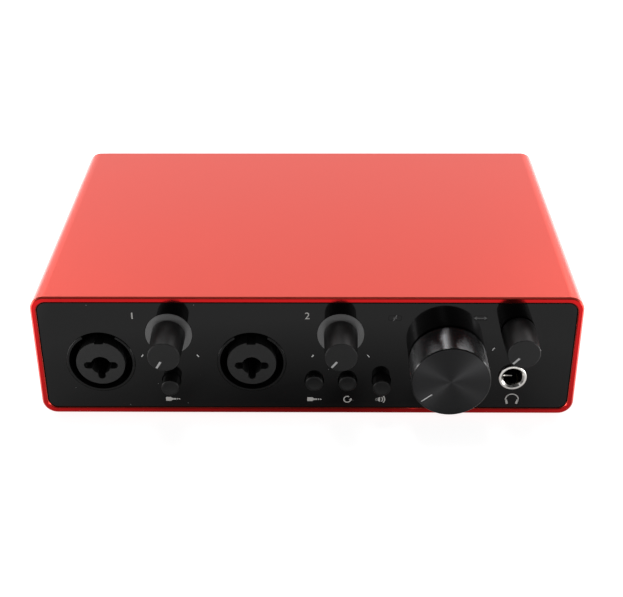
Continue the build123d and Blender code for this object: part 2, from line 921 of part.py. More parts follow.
def make_monitor_knob():
    """Large hollow knob with a hub for the shaft and a shallow recess for its metal disc."""
    base = facing_front(panel_recess - knob_gap, monitor_x, monitor_z)
    with BuildPart() as knob:
        with BuildSketch(base):
            Circle(monitor_knob_radius)
        extrude(amount=monitor_knob_length)
        chamfer(knob.faces().sort_by(Axis.Y)[0].edges(), monitor_edge_chamfer)
        with BuildSketch(base):
            Circle(monitor_knob_radius - monitor_skirt)
            Circle(monitor_hub_radius, mode=Mode.SUBTRACT)
        extrude(amount=monitor_knob_length - monitor_roof, mode=Mode.SUBTRACT)
        with BuildSketch(base):
            shaft_socket()
        extrude(amount=knob_socket_depth, mode=Mode.SUBTRACT)
        with BuildSketch(base.offset(monitor_knob_length)):
            Circle(monitor_disc_radius + contact_clearance)
        extrude(amount=-monitor_disc_thickness, mode=Mode.SUBTRACT)
    return knob.part


def make_monitor_disc():
    """Turned metal disc inlaid in the large knob's face."""
    with BuildPart() as disc:
        with BuildSketch(facing_front(-monitor_knob_reach, monitor_x, monitor_z)):
            Circle(monitor_disc_radius)
        extrude(amount=-monitor_disc_thickness)
    return disc.part


def make_button(face):
    """Button cap with a shallow dish, on a square plunger; the face's origin is the cap's front."""
    with BuildPart() as button:
        with BuildSketch(face):
            Circle(button_radius)
        extrude(amount=-button_body_length)
        fillet(button.faces().sort_by(Axis(face.origin, face.z_dir))[-1].edges(), button_edge_radius)
        with BuildSketch(face):
            Circle(button_dish_radius)
        extrude(amount=-button_dish_depth, taper=45, mode=Mode.SUBTRACT)
        with BuildSketch(face.offset(-button_body_length)):
            Rectangle(plunger_width, plunger_width)
        extrude(amount=-plunger_length)
    return button.part


def make_switch(face, axis_height=switch_width / 2):
    """Latching switch with a square bore for the plunger; the face's origin is the bore's mouth."""
    with BuildPart() as switch:
        with BuildSketch(face):
            with Locations((0, -axis_height)):
                RectangleRounded(
                    switch_width,
                    axis_height + switch_width / 2,
                    switch_width / 14,
                    align=(Align.CENTER, Align.MIN),
                )
        extrude(amount=-switch_depth)
        with BuildSketch(face):
            Rectangle(plunger_width + 2 * plunger_clearance, plunger_width + 2 * plunger_clearance)
        extrude(amount=-switch_bore_depth, mode=Mode.SUBTRACT)
    return switch.part


# ---- Build and write every piece ----

os.makedirs("parts", exist_ok=True)

save(make_sleeve(), "sleeve")
for end, depth in (("front", foot_inset_y), ("rear", sleeve_depth - foot_inset_y)):
    for side, sign in (("left", -1), ("right", 1)):
        save(make_foot(sign * (sleeve_width / 2 - foot_inset_x), depth), f"foot_{end}_{side}")
save(make_fascia(), "front_panel")
save(make_frame(), "front_frame")
save(make_screws(facing_front(fascia_back)), "front_frame_screws")
save(make_rear_panel(), "rear_panel")
save(make_screws(facing_rear(rear_recess)), "rear_panel_screws")

save(make_main_board(), "main_board")
save(make_control_board(), "control_board")
save(make_board_screws(), "control_board_screws")
save(make_link_header(), "board_link_header")
save(make_capacitors(), "capacitors")
save(make_chips(), "chips")
save(make_leds(), "panel_leds")
save(make_lenses(), "indicator_lenses")

for number, socket_x in enumerate(combo_xs, 1):
    save(make_combo_shell(socket_x), f"combo_shell_{number}")
    save(make_combo_insert(socket_x), f"combo_insert_{number}")
    save(make_combo_contacts(socket_x), f"combo_contacts_{number}")

headphone_face = facing_front(panel_recess, headphone_x, headphone_z)
headphone_shoulder = combo_shoulder - panel_recess
save(
    make_jack_housing(headphone_face, headphone_z - board_top, ring_radius, 0, headphone_shoulder),
    "headphone_jack",
)
save(make_headphone_ring(headphone_face), "headphone_ring")
save(make_jack_springs(headphone_face), "headphone_contact")
line_faces = {side: facing_rear(rear_recess, x, line_out_z) for side, x in line_out_xs.items()}
save(make_jack_springs(*line_faces.values()), "line_out_contacts")
for side, line_face in line_faces.items():
    save(
        make_jack_housing(
            line_face,
            line_out_z - board_top,
            line_nose_radius,
            line_nose_proud,
            rear_thickness,
        ),
        f"line_out_jack_{side}",
    )
    save(make_nut(line_face), f"line_out_nut_{side}")
save(make_usb_shell(), "usb_shell")
save(make_usb_tongue(), "usb_tongue")

knob_base_depth = panel_recess - knob_gap
for number, knob_x in enumerate(gain_xs, 1):
    save(make_halo(knob_x), f"halo_ring_{number}")
    save(make_pot(knob_x, gain_z), f"gain_pot_{number}")
    save(
        make_shaft(knob_x, gain_z, knob_base_depth, knob_base_depth - knob_socket_depth + shaft_end_play),
        f"gain_shaft_{number}",
    )
    save(make_knob(knob_x, gain_z), f"gain_knob_{number}")
shaft_tip = knob_base_depth - knob_socket_depth + shaft_end_play
save(make_pot(phones_x, phones_z), "phones_pot")
save(make_shaft(phones_x, phones_z, knob_base_depth, shaft_tip), "phones_shaft")
save(make_knob(phones_x, phones_z), "phones_knob")
save(make_pot(monitor_x, monitor_z), "monitor_pot")
save(make_shaft(monitor_x, monitor_z, knob_base_depth, shaft_tip), "monitor_shaft")
save(make_monitor_knob(), "monitor_knob")
save(make_monitor_disc(), "monitor_knob_disc")

for name, button_x in button_xs.items():
    pressed = latch_travel if name in latched_buttons else 0
    save(make_button(facing_front(pressed - button_reach, button_x, button_z)), f"{name}_button")
    save(make_switch(facing_front(switch_front, button_x, button_z)), f"{name}_switch")
save(make_button(facing_rear(-phantom_reach, phantom_x, phantom_z)), "phantom_button")
save(
    make_switch(facing_rear(phantom_switch_front, phantom_x, phantom_z), phantom_z - board_top),
    "phantom_switch",
)
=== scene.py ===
"""Looks of a two-channel desktop audio interface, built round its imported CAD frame.

The frame holds every construction piece at its real size. This script gives each of them its finish,
models the controls that are seen closest, and adds the printed marks, the light and the camera.
Lengths are in metres. X runs to the right, Y to the rear and Z up.
"""

import logging
import math
from dataclasses import dataclass
from enum import Enum
from typing import Callable, Iterable

import bpy
from mathutils import Matrix, Vector


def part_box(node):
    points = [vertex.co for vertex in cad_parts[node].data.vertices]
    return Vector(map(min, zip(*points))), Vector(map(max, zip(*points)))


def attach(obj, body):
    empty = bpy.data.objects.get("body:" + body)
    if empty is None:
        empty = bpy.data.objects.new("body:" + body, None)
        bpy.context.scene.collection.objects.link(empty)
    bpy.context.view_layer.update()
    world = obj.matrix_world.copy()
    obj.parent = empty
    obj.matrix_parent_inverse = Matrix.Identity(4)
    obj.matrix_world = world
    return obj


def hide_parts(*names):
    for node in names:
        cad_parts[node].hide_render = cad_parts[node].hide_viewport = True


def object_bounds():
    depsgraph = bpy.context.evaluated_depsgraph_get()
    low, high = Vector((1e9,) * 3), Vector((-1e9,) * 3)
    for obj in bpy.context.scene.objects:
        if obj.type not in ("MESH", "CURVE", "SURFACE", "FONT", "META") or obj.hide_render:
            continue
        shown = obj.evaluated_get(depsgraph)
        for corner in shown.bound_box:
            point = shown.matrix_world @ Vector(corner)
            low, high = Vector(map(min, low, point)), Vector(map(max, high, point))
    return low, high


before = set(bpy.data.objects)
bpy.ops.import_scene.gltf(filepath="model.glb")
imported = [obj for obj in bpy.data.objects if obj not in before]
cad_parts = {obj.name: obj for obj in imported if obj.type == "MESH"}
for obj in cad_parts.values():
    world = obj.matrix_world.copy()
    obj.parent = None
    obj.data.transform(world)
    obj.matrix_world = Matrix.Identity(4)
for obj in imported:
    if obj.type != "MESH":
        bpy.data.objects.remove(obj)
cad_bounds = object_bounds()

log = logging.getLogger("interface")

MM = 0.001
Colour = Place = tuple[float, float, float]
Centre = tuple[float, float]
Piece = bpy.types.Object
Face = bpy.types.MeshPolygon
Tree = bpy.types.NodeTree
Socket = bpy.types.NodeSocket
Sockets = bpy.types.bpy_prop_collection
Value = float | tuple | Socket
Changes = tuple[tuple[str, float, float], ...]


# ---- Nodes ----


class Wiring:
    """Short ways to place and join the nodes of a material, a group or the world.

    A value is a plain one, or the socket that gives it.
    """

    def __init__(self, tree: Tree) -> None:
        """Work on a tree of nodes."""
        self.tree = tree

    def feed(self, socket: Socket, value: Value) -> None:
        """Give an input its value.

        Args:
            socket: the input.
            value: what it gets.
        """
        if isinstance(value, Socket):
            self.tree.links.new(value, socket)
        else:
            socket.default_value = value

    def add(
        self, kind: str, values: dict[str | int, Value] | None = None, **settings: str | Tree
    ) -> Sockets:
        """Add a node.

        Args:
            kind: its type, without the word that all types begin with.
            values: its inputs, by name or by number.
            **settings: its own settings.

        Returns:
            Its outputs.
        """
        node = self.tree.nodes.new(f"ShaderNode{kind}")
        for label, setting in settings.items():
            setattr(node, label, setting)
        for label, value in (values or {}).items():
            self.feed(node.inputs[label], value)
        return node.outputs

    def work(self, kind: str, operation: str, *values: Value) -> Sockets:
        """Add a node that does a sum.

        Args:
            kind: its type, "Math" or "VectorMath".
            operation: the sum.
            *values: its inputs in their order.

        Returns:
            Its outputs.
        """
        node = self.tree.nodes.new(f"ShaderNode{kind}")
        node.operation = operation
        for socket, value in zip(node.inputs, values):
            self.feed(socket, value)
        return node.outputs

    def maths(self, operation: str, *values: Value) -> Socket:
        """Return a number worked out of others."""
        return self.work("Math", operation, *values)["Value"]

    def mix(self, share: Value, first: Value, second: Value, kind: str = "FLOAT") -> Socket:
        """Return a value between two others.

        Args:
            share: how far it lies towards the second.
            first: the value at a share of 0.
            second: the value at a share of 1.
            kind: "FLOAT" for numbers or "RGBA" for colours.

        Returns:
            The socket that gives it.
        """
        return self.add("Mix", {"Factor": share, "A": first, "B": second}, data_type=kind)["Result"]

    def change(
        self, value: Value, start: float, end: float, low: float = 0.0, high: float = 1.0
    ) -> Socket:
        """Return a number that goes from one level to another as a value changes.

        Args:
            value: the value that changes.
            start: where the change starts.
            end: where it ends.
            low: the level before it.
            high: the level after it.

        Returns:
            The socket that gives the number.
        """
        limits = {"From Min": start, "From Max": end, "To Min": low, "To Max": high}
        return self.add("MapRange", {"Value": value} | limits)["Result"]

    def place(self) -> Socket:
        """Return the place of the point on its piece."""
        return self.add("TexCoord")["Object"]


class Effects:
    """Node groups that several finishes share, each built once and used with its own values."""

    groups: dict[str, Tree] = {}

    @classmethod
    def get(cls, name: str) -> Tree:
        """Return a group, building it the first time.

        Args:
            name: the group's name, which is also the name of the method that builds it.

        Returns:
            The node group.
        """
        if name not in cls.groups:
            cls.groups[name] = getattr(cls, name)()
        return cls.groups[name]

    @staticmethod
    def start(name: str, defaults: dict[str, float]) -> tuple[Wiring, Sockets]:
        """Begin a group.

        Args:
            name: the group's name.
            defaults: its inputs and their defaults.

        Returns:
            The wiring of its nodes, and the sockets that give its inputs.
        """
        group = bpy.data.node_groups.new(name, "ShaderNodeTree")
        for label, default in defaults.items():
            socket = group.interface.new_socket(label, in_out="INPUT", socket_type="NodeSocketFloat")
            socket.default_value = default
        return Wiring(group), group.nodes.new("NodeGroupInput").outputs

    @staticmethod
    def close(wires: Wiring, results: dict[str, Socket]) -> Tree:
        """Give a group its outputs.

        Args:
            wires: the wiring of its nodes.
            results: its outputs and what they give.

        Returns:
            The group.
        """
        for label in results:
            wires.tree.interface.new_socket(label, in_out="OUTPUT", socket_type="NodeSocketFloat")
        end = wires.tree.nodes.new("NodeGroupOutput")
        for label, value in results.items():
            wires.feed(end.inputs[label], value)
        return wires.tree

    @staticmethod
    def fine_grain() -> Tree:
        """Even grain of a blasted or moulded surface, with a slow drift over it.

        Returns:
            A group that gives a height and a tone, each about 0.5.
        """
        wires, given = Effects.start("fine_grain", {"Scale": 9000.0, "Drift Scale": 25.0, "Drift": 0.3})
        place = wires.place()
        cells = {"Vector": place, "Scale": given["Scale"], "Detail": 3.0}
        grain = wires.add("TexNoise", cells)["Fac"]
        clouds = {"Vector": place, "Scale": given["Drift Scale"], "Detail": 2.0}
        drift = wires.add("TexNoise", clouds)["Fac"]
        return Effects.close(wires, {"Height": grain, "Tone": wires.mix(given["Drift"], grain, drift)})

    @staticmethod
    def dust() -> Tree:
        """Sparse pale specks of dust, which lie in patches.

        Returns:
            A group whose mask is 1 on a speck and 0 elsewhere.
        """
        defaults = {"Scale": 350.0, "Amount": 0.05, "Patch Scale": 140.0, "Patch Level": 0.6}
        wires, given = Effects.start("dust", defaults)
        place = wires.place()
        cells = wires.add("TexVoronoi", {"Vector": place, "Scale": given["Scale"], "Randomness": 1.0})
        patches = wires.add("TexNoise", {"Vector": place, "Scale": given["Patch Scale"]})
        near = wires.maths("LESS_THAN", cells["Distance"], given["Amount"])
        some = wires.maths("GREATER_THAN", patches["Fac"], given["Patch Level"])
        return Effects.close(wires, {"Mask": wires.maths("MULTIPLY", near, some)})

    @staticmethod
    def cut_ends() -> Tree:
        """The two ends of a piece that lies front to back.

        Returns:
            A group whose mask is 1 on the ends and 0 between them.
        """
        wires, given = Effects.start("cut_ends", {"Middle": 0.0, "Reach": 0.05})
        parts = wires.add("SeparateXYZ", {"Vector": wires.place()})
        away = wires.maths("ABSOLUTE", wires.maths("SUBTRACT", parts["Y"], given["Middle"]))
        return Effects.close(wires, {"Mask": wires.maths("GREATER_THAN", away, given["Reach"])})

    @staticmethod
    def turned() -> Tree:
        """Fine rings left by a lathe, about an axis that runs front to back.

        Returns:
            A group that gives the rings' height and a tone that varies from ring to ring.
        """
        defaults = {"Centre X": 0.0, "Centre Z": 0.0, "Pitch": 0.0001, "Tone Scale": 0.35}
        wires, given = Effects.start("turned", defaults)
        parts = wires.add("SeparateXYZ", {"Vector": wires.place()})
        across = wires.maths("SUBTRACT", parts["X"], given["Centre X"])
        up = wires.maths("SUBTRACT", parts["Z"], given["Centre Z"])
        flat = wires.add("CombineXYZ", {"X": across, "Y": up})["Vector"]
        radius = wires.work("VectorMath", "LENGTH", flat)["Value"]
        count = wires.maths("DIVIDE", radius, given["Pitch"])
        strip = {"W": count, "Scale": given["Tone Scale"], "Detail": 3.0}
        rings = wires.add("TexNoise", strip, noise_dimensions="1D")["Fac"]
        return Effects.close(wires, {"Height": wires.maths("SINE", count), "Tone": rings})


# ---- Finishes ----


@dataclass(frozen=True)
class Finish:
    """A plain finish: one colour with grain, slight tone drift and grain in its gloss.

    Attributes:
        name: the material's name.
        colour: base colour, linear.
        roughness: mean roughness.
        metallic: 1 for bare metal.
        specular: specular level of the shader.
        coat: weight of a clear coat.
        coat_roughness: roughness of the coat.
        grain_scale: grain cells per metre.
        grain_depth: bump height of the grain, in metres.
        tone: how far the grain and its drift change the colour, as a share.
        gloss_spread: how far they change the roughness.
    """

    name: str
    colour: Colour
    roughness: float = 0.5
    metallic: float = 0.0
    specular: float = 0.5
    coat: float = 0.0
    coat_roughness: float = 0.05
    grain_scale: float = 9000.0
    grain_depth: float = 0.00001
    tone: float = 0.08
    gloss_spread: float = 0.06

    def material(self) -> bpy.types.Material:
        """Return the finish's material, built the first time."""
        if self.name in bpy.data.materials:
            return bpy.data.materials[self.name]
        material = bpy.data.materials.new(self.name)
        material.use_nodes = True
        shader = material.node_tree.nodes["Principled BSDF"].inputs
        for label, value in (
            ("Roughness", self.roughness),
            ("Metallic", self.metallic),
            ("Specular IOR Level", self.specular),
            ("Coat Weight", self.coat),
            ("Coat Roughness", self.coat_roughness),
        ):
            shader[label].default_value = value
        self.build(Wiring(material.node_tree), shader)
        return material

    def build(self, wires: Wiring, shader: Sockets) -> None:
        """Wire the finish's pattern into the shader.

        Args:
            wires: the wiring of the material's nodes.
            shader: the inputs of its Principled BSDF.
        """
        self.surface(wires, shader, "fine_grain", {"Scale": self.grain_scale})

    def surface(
        self,
        wires: Wiring,
        shader: Sockets,
        effect: str,
        values: dict[str, float],
        relief: bool = True,
    ) -> None:
        """Let an effect's tone of about 0.5 vary the colour and the gloss, and raise its height.

        Args:
            wires: the wiring of the material's nodes.
            shader: the inputs of its Principled BSDF.
            effect: the shared effect's name.
            values: the effect's inputs.
            relief: whether its height shows.
        """
        pattern = wires.add("Group", values, node_tree=Effects.get(effect))
        dark, pale = (
            (*[min(1.0, level * share) for level in self.colour], 1)
            for share in (1 - self.tone, 1 + self.tone)
        )
        wires.feed(shader["Base Color"], wires.mix(pattern["Tone"], dark, pale, "RGBA"))
        smooth = max(0.0, self.roughness - self.gloss_spread)
        rough = min(1.0, self.roughness + self.gloss_spread)
        wires.feed(shader["Roughness"], wires.change(pattern["Tone"], 0.0, 1.0, smooth, rough))
        if relief:
            heights = {"Height": pattern["Height"], "Strength": 1.0, "Distance": self.grain_depth}
            wires.feed(shader["Normal"], wires.add("Bump", heights)["Normal"])

    @staticmethod
    def cover(wires: Wiring, socket: Socket, mask: Socket, value: Value) -> None:
        """Put a value over what an input of the shader gets.

        Args:
            wires: the wiring of the material's nodes.
            socket: the input.
            mask: 1 where the value covers it.
            value: a number, or a colour where the input is one.
        """
        under = socket.links[0].from_socket if socket.is_linked else socket.default_value
        kind = "RGBA" if isinstance(value, tuple) else "FLOAT"
        wires.feed(socket, wires.mix(mask, under, value, kind))


@dataclass(frozen=True)
class DustyGloss(Finish):
    """Polished plastic with a few specks of dust on it.

    Attributes:
        dust_colour: colour of a speck.
    """

    dust_colour: Colour = (0.25, 0.25, 0.25)

    def build(self, wires: Wiring, shader: Sockets) -> None:
        """Wire the grain, then put the specks over its colour."""
        super().build(wires, shader)
        specks = wires.add("Group", node_tree=Effects.get("dust"))["Mask"]
        self.cover(wires, shader["Base Color"], specks, (*self.dust_colour, 1))


@dataclass(frozen=True)
class Inlay(Finish):
    """Filled or printed line, worn a little unevenly.

    Attributes:
        grain_scale: grain cells per metre.
        wear: the share of the slow drift in its tone.
    """

    grain_scale: float = 5000.0
    wear: float = 0.5

    def build(self, wires: Wiring, shader: Sockets) -> None:
        """Wire an uneven tone, with no relief."""
        values = {"Scale": self.grain_scale, "Drift": self.wear}
        self.surface(wires, shader, "fine_grain", values, relief=False)


@dataclass(frozen=True)
class AnodisedSleeve(Finish):
    """Blasted and anodised extrusion, whose ends were cut after blasting and are glossier.

    Attributes:
        shaded_end_colour: colour of the cut ends, linear: a darker red than the rest, which is painted
            shade.
        end_roughness: roughness of the cut ends.
        end_coat: weight of the coat on them.
        end_depth: how much of the ends counts as cut, in metres.
    """

    shaded_end_colour: Colour = (0.64, 0.014, 0.015)
    end_roughness: float = 0.09
    end_coat: float = 0.06
    end_depth: float = 0.0001

    def build(self, wires: Wiring, shader: Sockets) -> None:
        """Wire the grain, then the glossier ends."""
        super().build(wires, shader)
        low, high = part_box("sleeve")
        span = {"Middle": (low.y + high.y) / 2, "Reach": (high.y - low.y) / 2 - self.end_depth}
        ends = wires.add("Group", span, node_tree=Effects.get("cut_ends"))["Mask"]
        # The ends' darker red is painted shade; their lower roughness and thin coat are their real
        # gloss.
        self.cover(wires, shader["Base Color"], ends, (*self.shaded_end_colour, 1))
        self.cover(wires, shader["Roughness"], ends, self.end_roughness)
        self.cover(wires, shader["Coat Weight"], ends, self.end_coat)


@dataclass(frozen=True)
class TurnedFinish(Finish):
    """Metal faced on a lathe, whose rings spread its reflections across them.

    Attributes:
        centre: the axis's X and Z.
        pitch: distance between the rings, in metres.
        spread: the shader's anisotropy.
        spread_turn: the direction of the spread, in turns from the rings.
    """

    centre: Centre = (0.0, 0.0)
    pitch: float = 0.00002
    spread: float = 0.8
    spread_turn: float = 0.25

    def build(self, wires: Wiring, shader: Sockets) -> None:
        """Wire the rings, then the direction in which they run."""
        x, z = self.centre
        self.surface(wires, shader, "turned", {"Centre X": x, "Centre Z": z, "Pitch": self.pitch})
        run = wires.add("Tangent", direction_type="RADIAL", axis="Y")["Tangent"]
        wires.feed(shader["Tangent"], run)
        shader["Anisotropic"].default_value = self.spread
        shader["Anisotropic Rotation"].default_value = self.spread_turn


SLEEVE_RED = AnodisedSleeve(
    "sleeve_red_anodised", (0.90, 0.086, 0.056), 0.38, 1.0, coat=0.38, coat_roughness=0.28,
    grain_scale=2600.0, grain_depth=0.00001, tone=0.06,
)
FASCIA_BLACK = DustyGloss(
    "fascia_gloss_black", (0.0010, 0.0010, 0.0010), 0.06, specular=0.3, grain_scale=400.0,
    grain_depth=0.0000015, gloss_spread=0.02,
)
SOCKET_BLACK = Finish("socket_moulded_black", (0.002, 0.002, 0.002), 0.4, specular=0.25)
INSERT_BLACK = Finish("insert_moulded_black", (0.012, 0.012, 0.012), 0.45, specular=0.38)
KNOB_BLACK = Finish("knob_satin_black", (0.002, 0.002, 0.002), 0.46, specular=0.32)
KNOB_GLOSS = TurnedFinish(
    "knob_polished_black", (0.23, 0.23, 0.235), 0.25, 1.0, grain_depth=0.0000003, tone=0.05,
    gloss_spread=0.02, spread=1.0,
)
KNOB_EDGE = Finish("knob_edge_black", (0.003, 0.003, 0.003), 0.1, specular=0.3)
BUTTON_BLACK = Finish("button_moulded_black", (0.003, 0.003, 0.003), 0.4, specular=0.32)
REAR_BLACK = Finish(
    "rear_panel_black", (0.012, 0.012, 0.013), 0.5, grain_scale=2500.0, grain_depth=0.00003
)
FOOT_RUBBER = Finish("foot_rubber", (0.02, 0.02, 0.02), 0.8, grain_scale=3000.0, grain_depth=0.00003)
NUT_BLACK = Finish("nut_black", (0.012, 0.012, 0.013), 0.35)
SCREW_BLACK = Finish("screw_blackened_steel", (0.05, 0.05, 0.05), 0.4, 0.9)
BRIGHT_METAL = Finish(
    "plated_metal", (0.72, 0.70, 0.66), 0.16, 1.0, grain_scale=1200.0, grain_depth=0.000003
)
RING_METAL = Finish(
    "ring_plated_metal", (0.92, 0.90, 0.86), 0.18, 1.0, grain_scale=1200.0, grain_depth=0.000003
)
CONTACT_METAL = Finish("contact_metal", (0.75, 0.66, 0.48), 0.3, 1.0)
# A paler, brighter copy of the contact metal for the spring's tip in the headphone socket: a painted
# highlight.
CONTACT_PAINTED_HIGHLIGHT = Finish("contact_metal_painted_highlight", (0.9, 0.88, 0.84), 0.4, 1.0)
TIN_METAL = Finish("tin_metal", (0.10, 0.10, 0.10), 0.45, 1.0)
SHAFT_METAL = Finish("shaft_metal", (0.5, 0.5, 0.5), 0.35, 1.0)
HALO_GREY = Finish("halo_grey", (0.13, 0.13, 0.13), 0.26, specular=1.0)
LENS_BLACK = Finish("lens_black", (0.0015, 0.0015, 0.0015), 0.1, specular=0.3)
BOARD_GREEN = Finish("board_solder_mask", (0.01, 0.08, 0.03), 0.4, grain_scale=800.0)
PART_GREY = Finish("inner_part_black", (0.03, 0.03, 0.03), 0.5)
CAN_METAL = Finish("capacitor_can", (0.45, 0.45, 0.47), 0.35, 1.0)
FRAME_BLACK = Finish("frame_black", (0.005, 0.005, 0.005), 0.7)
PRINT_PALE = Inlay("print_pale", (0.55, 0.54, 0.52), 0.6, tone=0.12)
PRINT_BRIGHT = Inlay("print_bright", (0.85, 0.85, 0.84), 0.6, tone=0.05)
PRINT_DIM = Inlay("print_dim", (0.14, 0.14, 0.14), 0.5, tone=0.2)
POINTER_PALE = Inlay("pointer_pale", (0.5, 0.5, 0.5), 0.6, tone=0.1)
POINTER_BRIGHT = Inlay("pointer_bright", (0.7, 0.7, 0.7), 0.5, tone=0.05)

FINISHES: dict[str, Finish] = {
    "sleeve": SLEEVE_RED,
    "front_panel": FASCIA_BLACK,
    "front_frame": FRAME_BLACK,
    "rear_panel": REAR_BLACK,
    "headphone_contact": CONTACT_METAL,
    "line_out_contacts": CONTACT_METAL,
    "usb_shell": BRIGHT_METAL,
    "usb_tongue": SOCKET_BLACK,
    "main_board": BOARD_GREEN,
    "control_board": BOARD_GREEN,
    "capacitors": CAN_METAL,
    "indicator_lenses": LENS_BLACK,
}
FINISHES_BY_WORD: dict[str, Finish] = {
    "foot_": FOOT_RUBBER,
    "_shell_": SOCKET_BLACK,
    "_insert_": INSERT_BLACK,
    "_contacts_": TIN_METAL,
    "_shaft": SHAFT_METAL,
    "_screws": SCREW_BLACK,
    "_nut_": NUT_BLACK,
    "halo_": HALO_GREY,
    "_jack": SOCKET_BLACK,
}


def finish_for(node: str) -> Finish:
    """Return the finish of a construction piece.

    Args:
        node: the piece's name.

    Returns:
        Its own finish, or the one that a word in its name calls for.
    """
    if node in FINISHES:
        return FINISHES[node]
    words = (finish for word, finish in FINISHES_BY_WORD.items() if word in node)
    return next(words, PART_GREY)


def dress_frame() -> None:
    """Give every construction piece its finish."""
    for name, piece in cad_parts.items():
        finish = finish_for(name)
        for place in piece.material_slots:
            place.material = finish.material()
        log.info("dressed %s in %s", name, finish.name)


# ---- Bench work: the few steps that every modelled piece goes through ----

SAME_PLACE = 1e-6
SQUARE_ON = 0.99


class Pick(Enum):
    """What an edit-mode selection is made of."""

    VERTICES = "VERT"
    EDGES = "EDGE"
    FACES = "FACE"


def leave_edit_mode() -> None:
    """Go back to object mode."""
    if bpy.context.mode != "OBJECT":
        bpy.ops.object.mode_set(mode="OBJECT")


def bench() -> None:
    """Leave edit mode and deselect everything."""
    leave_edit_mode()
    bpy.ops.object.select_all(action="DESELECT")


def pick(piece: Piece, kind: Pick, test: Callable) -> None:
    """Select, in edit mode, the elements that pass a test, and nothing else.

    Args:
        piece: the mesh object, which is made the active one.
        kind: what is tested.
        test: takes a vertex, an edge or a face of the mesh.
    """
    leave_edit_mode()
    bpy.context.view_layer.objects.active = piece
    bpy.ops.object.mode_set(mode="EDIT")
    bpy.ops.mesh.select_mode(type=kind.value)
    bpy.ops.mesh.select_all(action="DESELECT")
    bpy.ops.object.mode_set(mode="OBJECT")
    mesh = piece.data
    elements = {Pick.VERTICES: mesh.vertices, Pick.EDGES: mesh.edges, Pick.FACES: mesh.polygons}
    for element in elements[kind]:
        element.select = test(element)
    bpy.ops.object.mode_set(mode="EDIT")


def front_face(face: Face) -> bool:
    """Return whether a face looks squarely to the front."""
    return face.normal.y < -SQUARE_ON


def rear_face(face: Face) -> bool:
    """Return whether a face looks squarely to the rear."""
    return face.normal.y > SQUARE_ON


def settle(name: str) -> Piece:
    """Name the new blank and put its place in its mesh.

    Args:
        name: the piece's name.

    Returns:
        The blank.
    """
    piece = bpy.context.active_object
    piece.name = name
    piece.data.name = name
    bpy.ops.object.transform_apply(location=True, rotation=True, scale=True)
    return piece


def rod(name: str, centre: Centre, radius: float, front: float, back: float, sides: int) -> Piece:
    """Add a round blank that lies front to back.

    Args:
        name: the piece's name.
        centre: its axis's X and Z.
        radius: its radius.
        front: Y of its front.
        back: Y of its back.
        sides: number of sides.

    Returns:
        The blank.
    """
    bench()
    bpy.ops.mesh.primitive_cylinder_add(
        vertices=sides,
        radius=radius,
        depth=back - front,
        location=(centre[0], (front + back) / 2, centre[1]),
        rotation=(math.pi / 2, 0, 0),
    )
    return settle(name)


def block(name: str, low: Vector, high: Vector) -> Piece:
    """Add a box-shaped blank.

    Args:
        name: the piece's name.
        low: its lowest corner.
        high: its highest corner.

    Returns:
        The blank.
    """
    bench()
    bpy.ops.mesh.primitive_cube_add(size=1, location=(low + high) / 2, scale=high - low)
    return settle(name)


def section(name: str, low: Vector, high: Vector) -> Piece:
    """Add a flat blank that faces up, to be spun.

    Args:
        name: the piece's name.
        low: its lowest corner.
        high: its highest corner, at the same height.

    Returns:
        The blank.
    """
    bench()
    bpy.ops.mesh.primitive_plane_add(size=1, location=(low + high) / 2)
    bpy.context.active_object.scale = (*(high - low).xy, 1)
    return settle(name)


def extent(points: Iterable) -> tuple[Vector, Vector]:
    """Return the lowest and the highest corner of the box round some points."""
    axes = list(zip(*points))
    return Vector([min(axis) for axis in axes]), Vector([max(axis) for axis in axes])


def shift(x: float = 0.0, y: float = 0.0, z: float = 0.0) -> None:
    """Move the selection by a distance along each axis."""
    bpy.ops.transform.translate(value=(x, y, z))


def push(distance: float) -> None:
    """Extrude the selected region towards the rear, or to the front where it is less than 0."""
    bpy.ops.mesh.extrude_region_move(TRANSFORM_OT_translate={"value": (0, distance, 0)})


def inset(width: float) -> None:
    """Inset the selected faces by the width of the new border."""
    bpy.ops.mesh.inset(thickness=width, use_even_offset=True)


def round_rim(piece: Piece, y: float, radius: float, width: float, steps: int) -> None:
    """Bevel the rim of a round face.

    Args:
        piece: the piece.
        y: the face's place.
        radius: no edge nearer to the piece's middle than this counts.
        width: the bevel's width.
        steps: number of segments.
    """
    low, high = extent(piece.bound_box)
    middle = (low + high) / 2

    def on_rim(edge: bpy.types.MeshEdge) -> bool:
        """Return whether an edge lies on the rim."""
        first, last = (piece.data.vertices[end].co for end in edge.vertices)
        level = abs(first.y - y) < SAME_PLACE and abs(last.y - y) < SAME_PLACE
        return level and math.hypot(first.x - middle.x, first.z - middle.z) > radius

    pick(piece, Pick.EDGES, on_rim)
    bpy.ops.mesh.bevel(offset=width, segments=steps, affect="EDGES")


def close_spin() -> None:
    """Merge the seam and the poles of a spun shape and turn its faces outwards."""
    bpy.ops.mesh.select_all(action="SELECT")
    bpy.ops.mesh.remove_doubles(threshold=SAME_PLACE)
    bpy.ops.mesh.normals_make_consistent(inside=False)


def finish_piece(
    piece: Piece,
    finish: Finish,
    body: str,
    stands_for: tuple[str, ...] = (),
    smooth_angle: float = 35.0,
) -> None:
    """Close a piece's modelling: smooth it, dress it and hang it on its body.

    Args:
        piece: the piece.
        finish: its finish.
        body: the body that it rides on.
        stands_for: construction pieces that it replaces.
        smooth_angle: edges flatter than this, in degrees, are shaded smooth.
    """
    bench()
    piece.select_set(True)
    bpy.context.view_layer.objects.active = piece
    bpy.ops.object.shade_smooth_by_angle(angle=math.radians(smooth_angle))
    piece.data.materials.clear()
    piece.data.materials.append(finish.material())
    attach(piece, body)
    if stands_for:
        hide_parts(*stands_for)
    piece.select_set(False)
    log.info("made %s", piece.name)


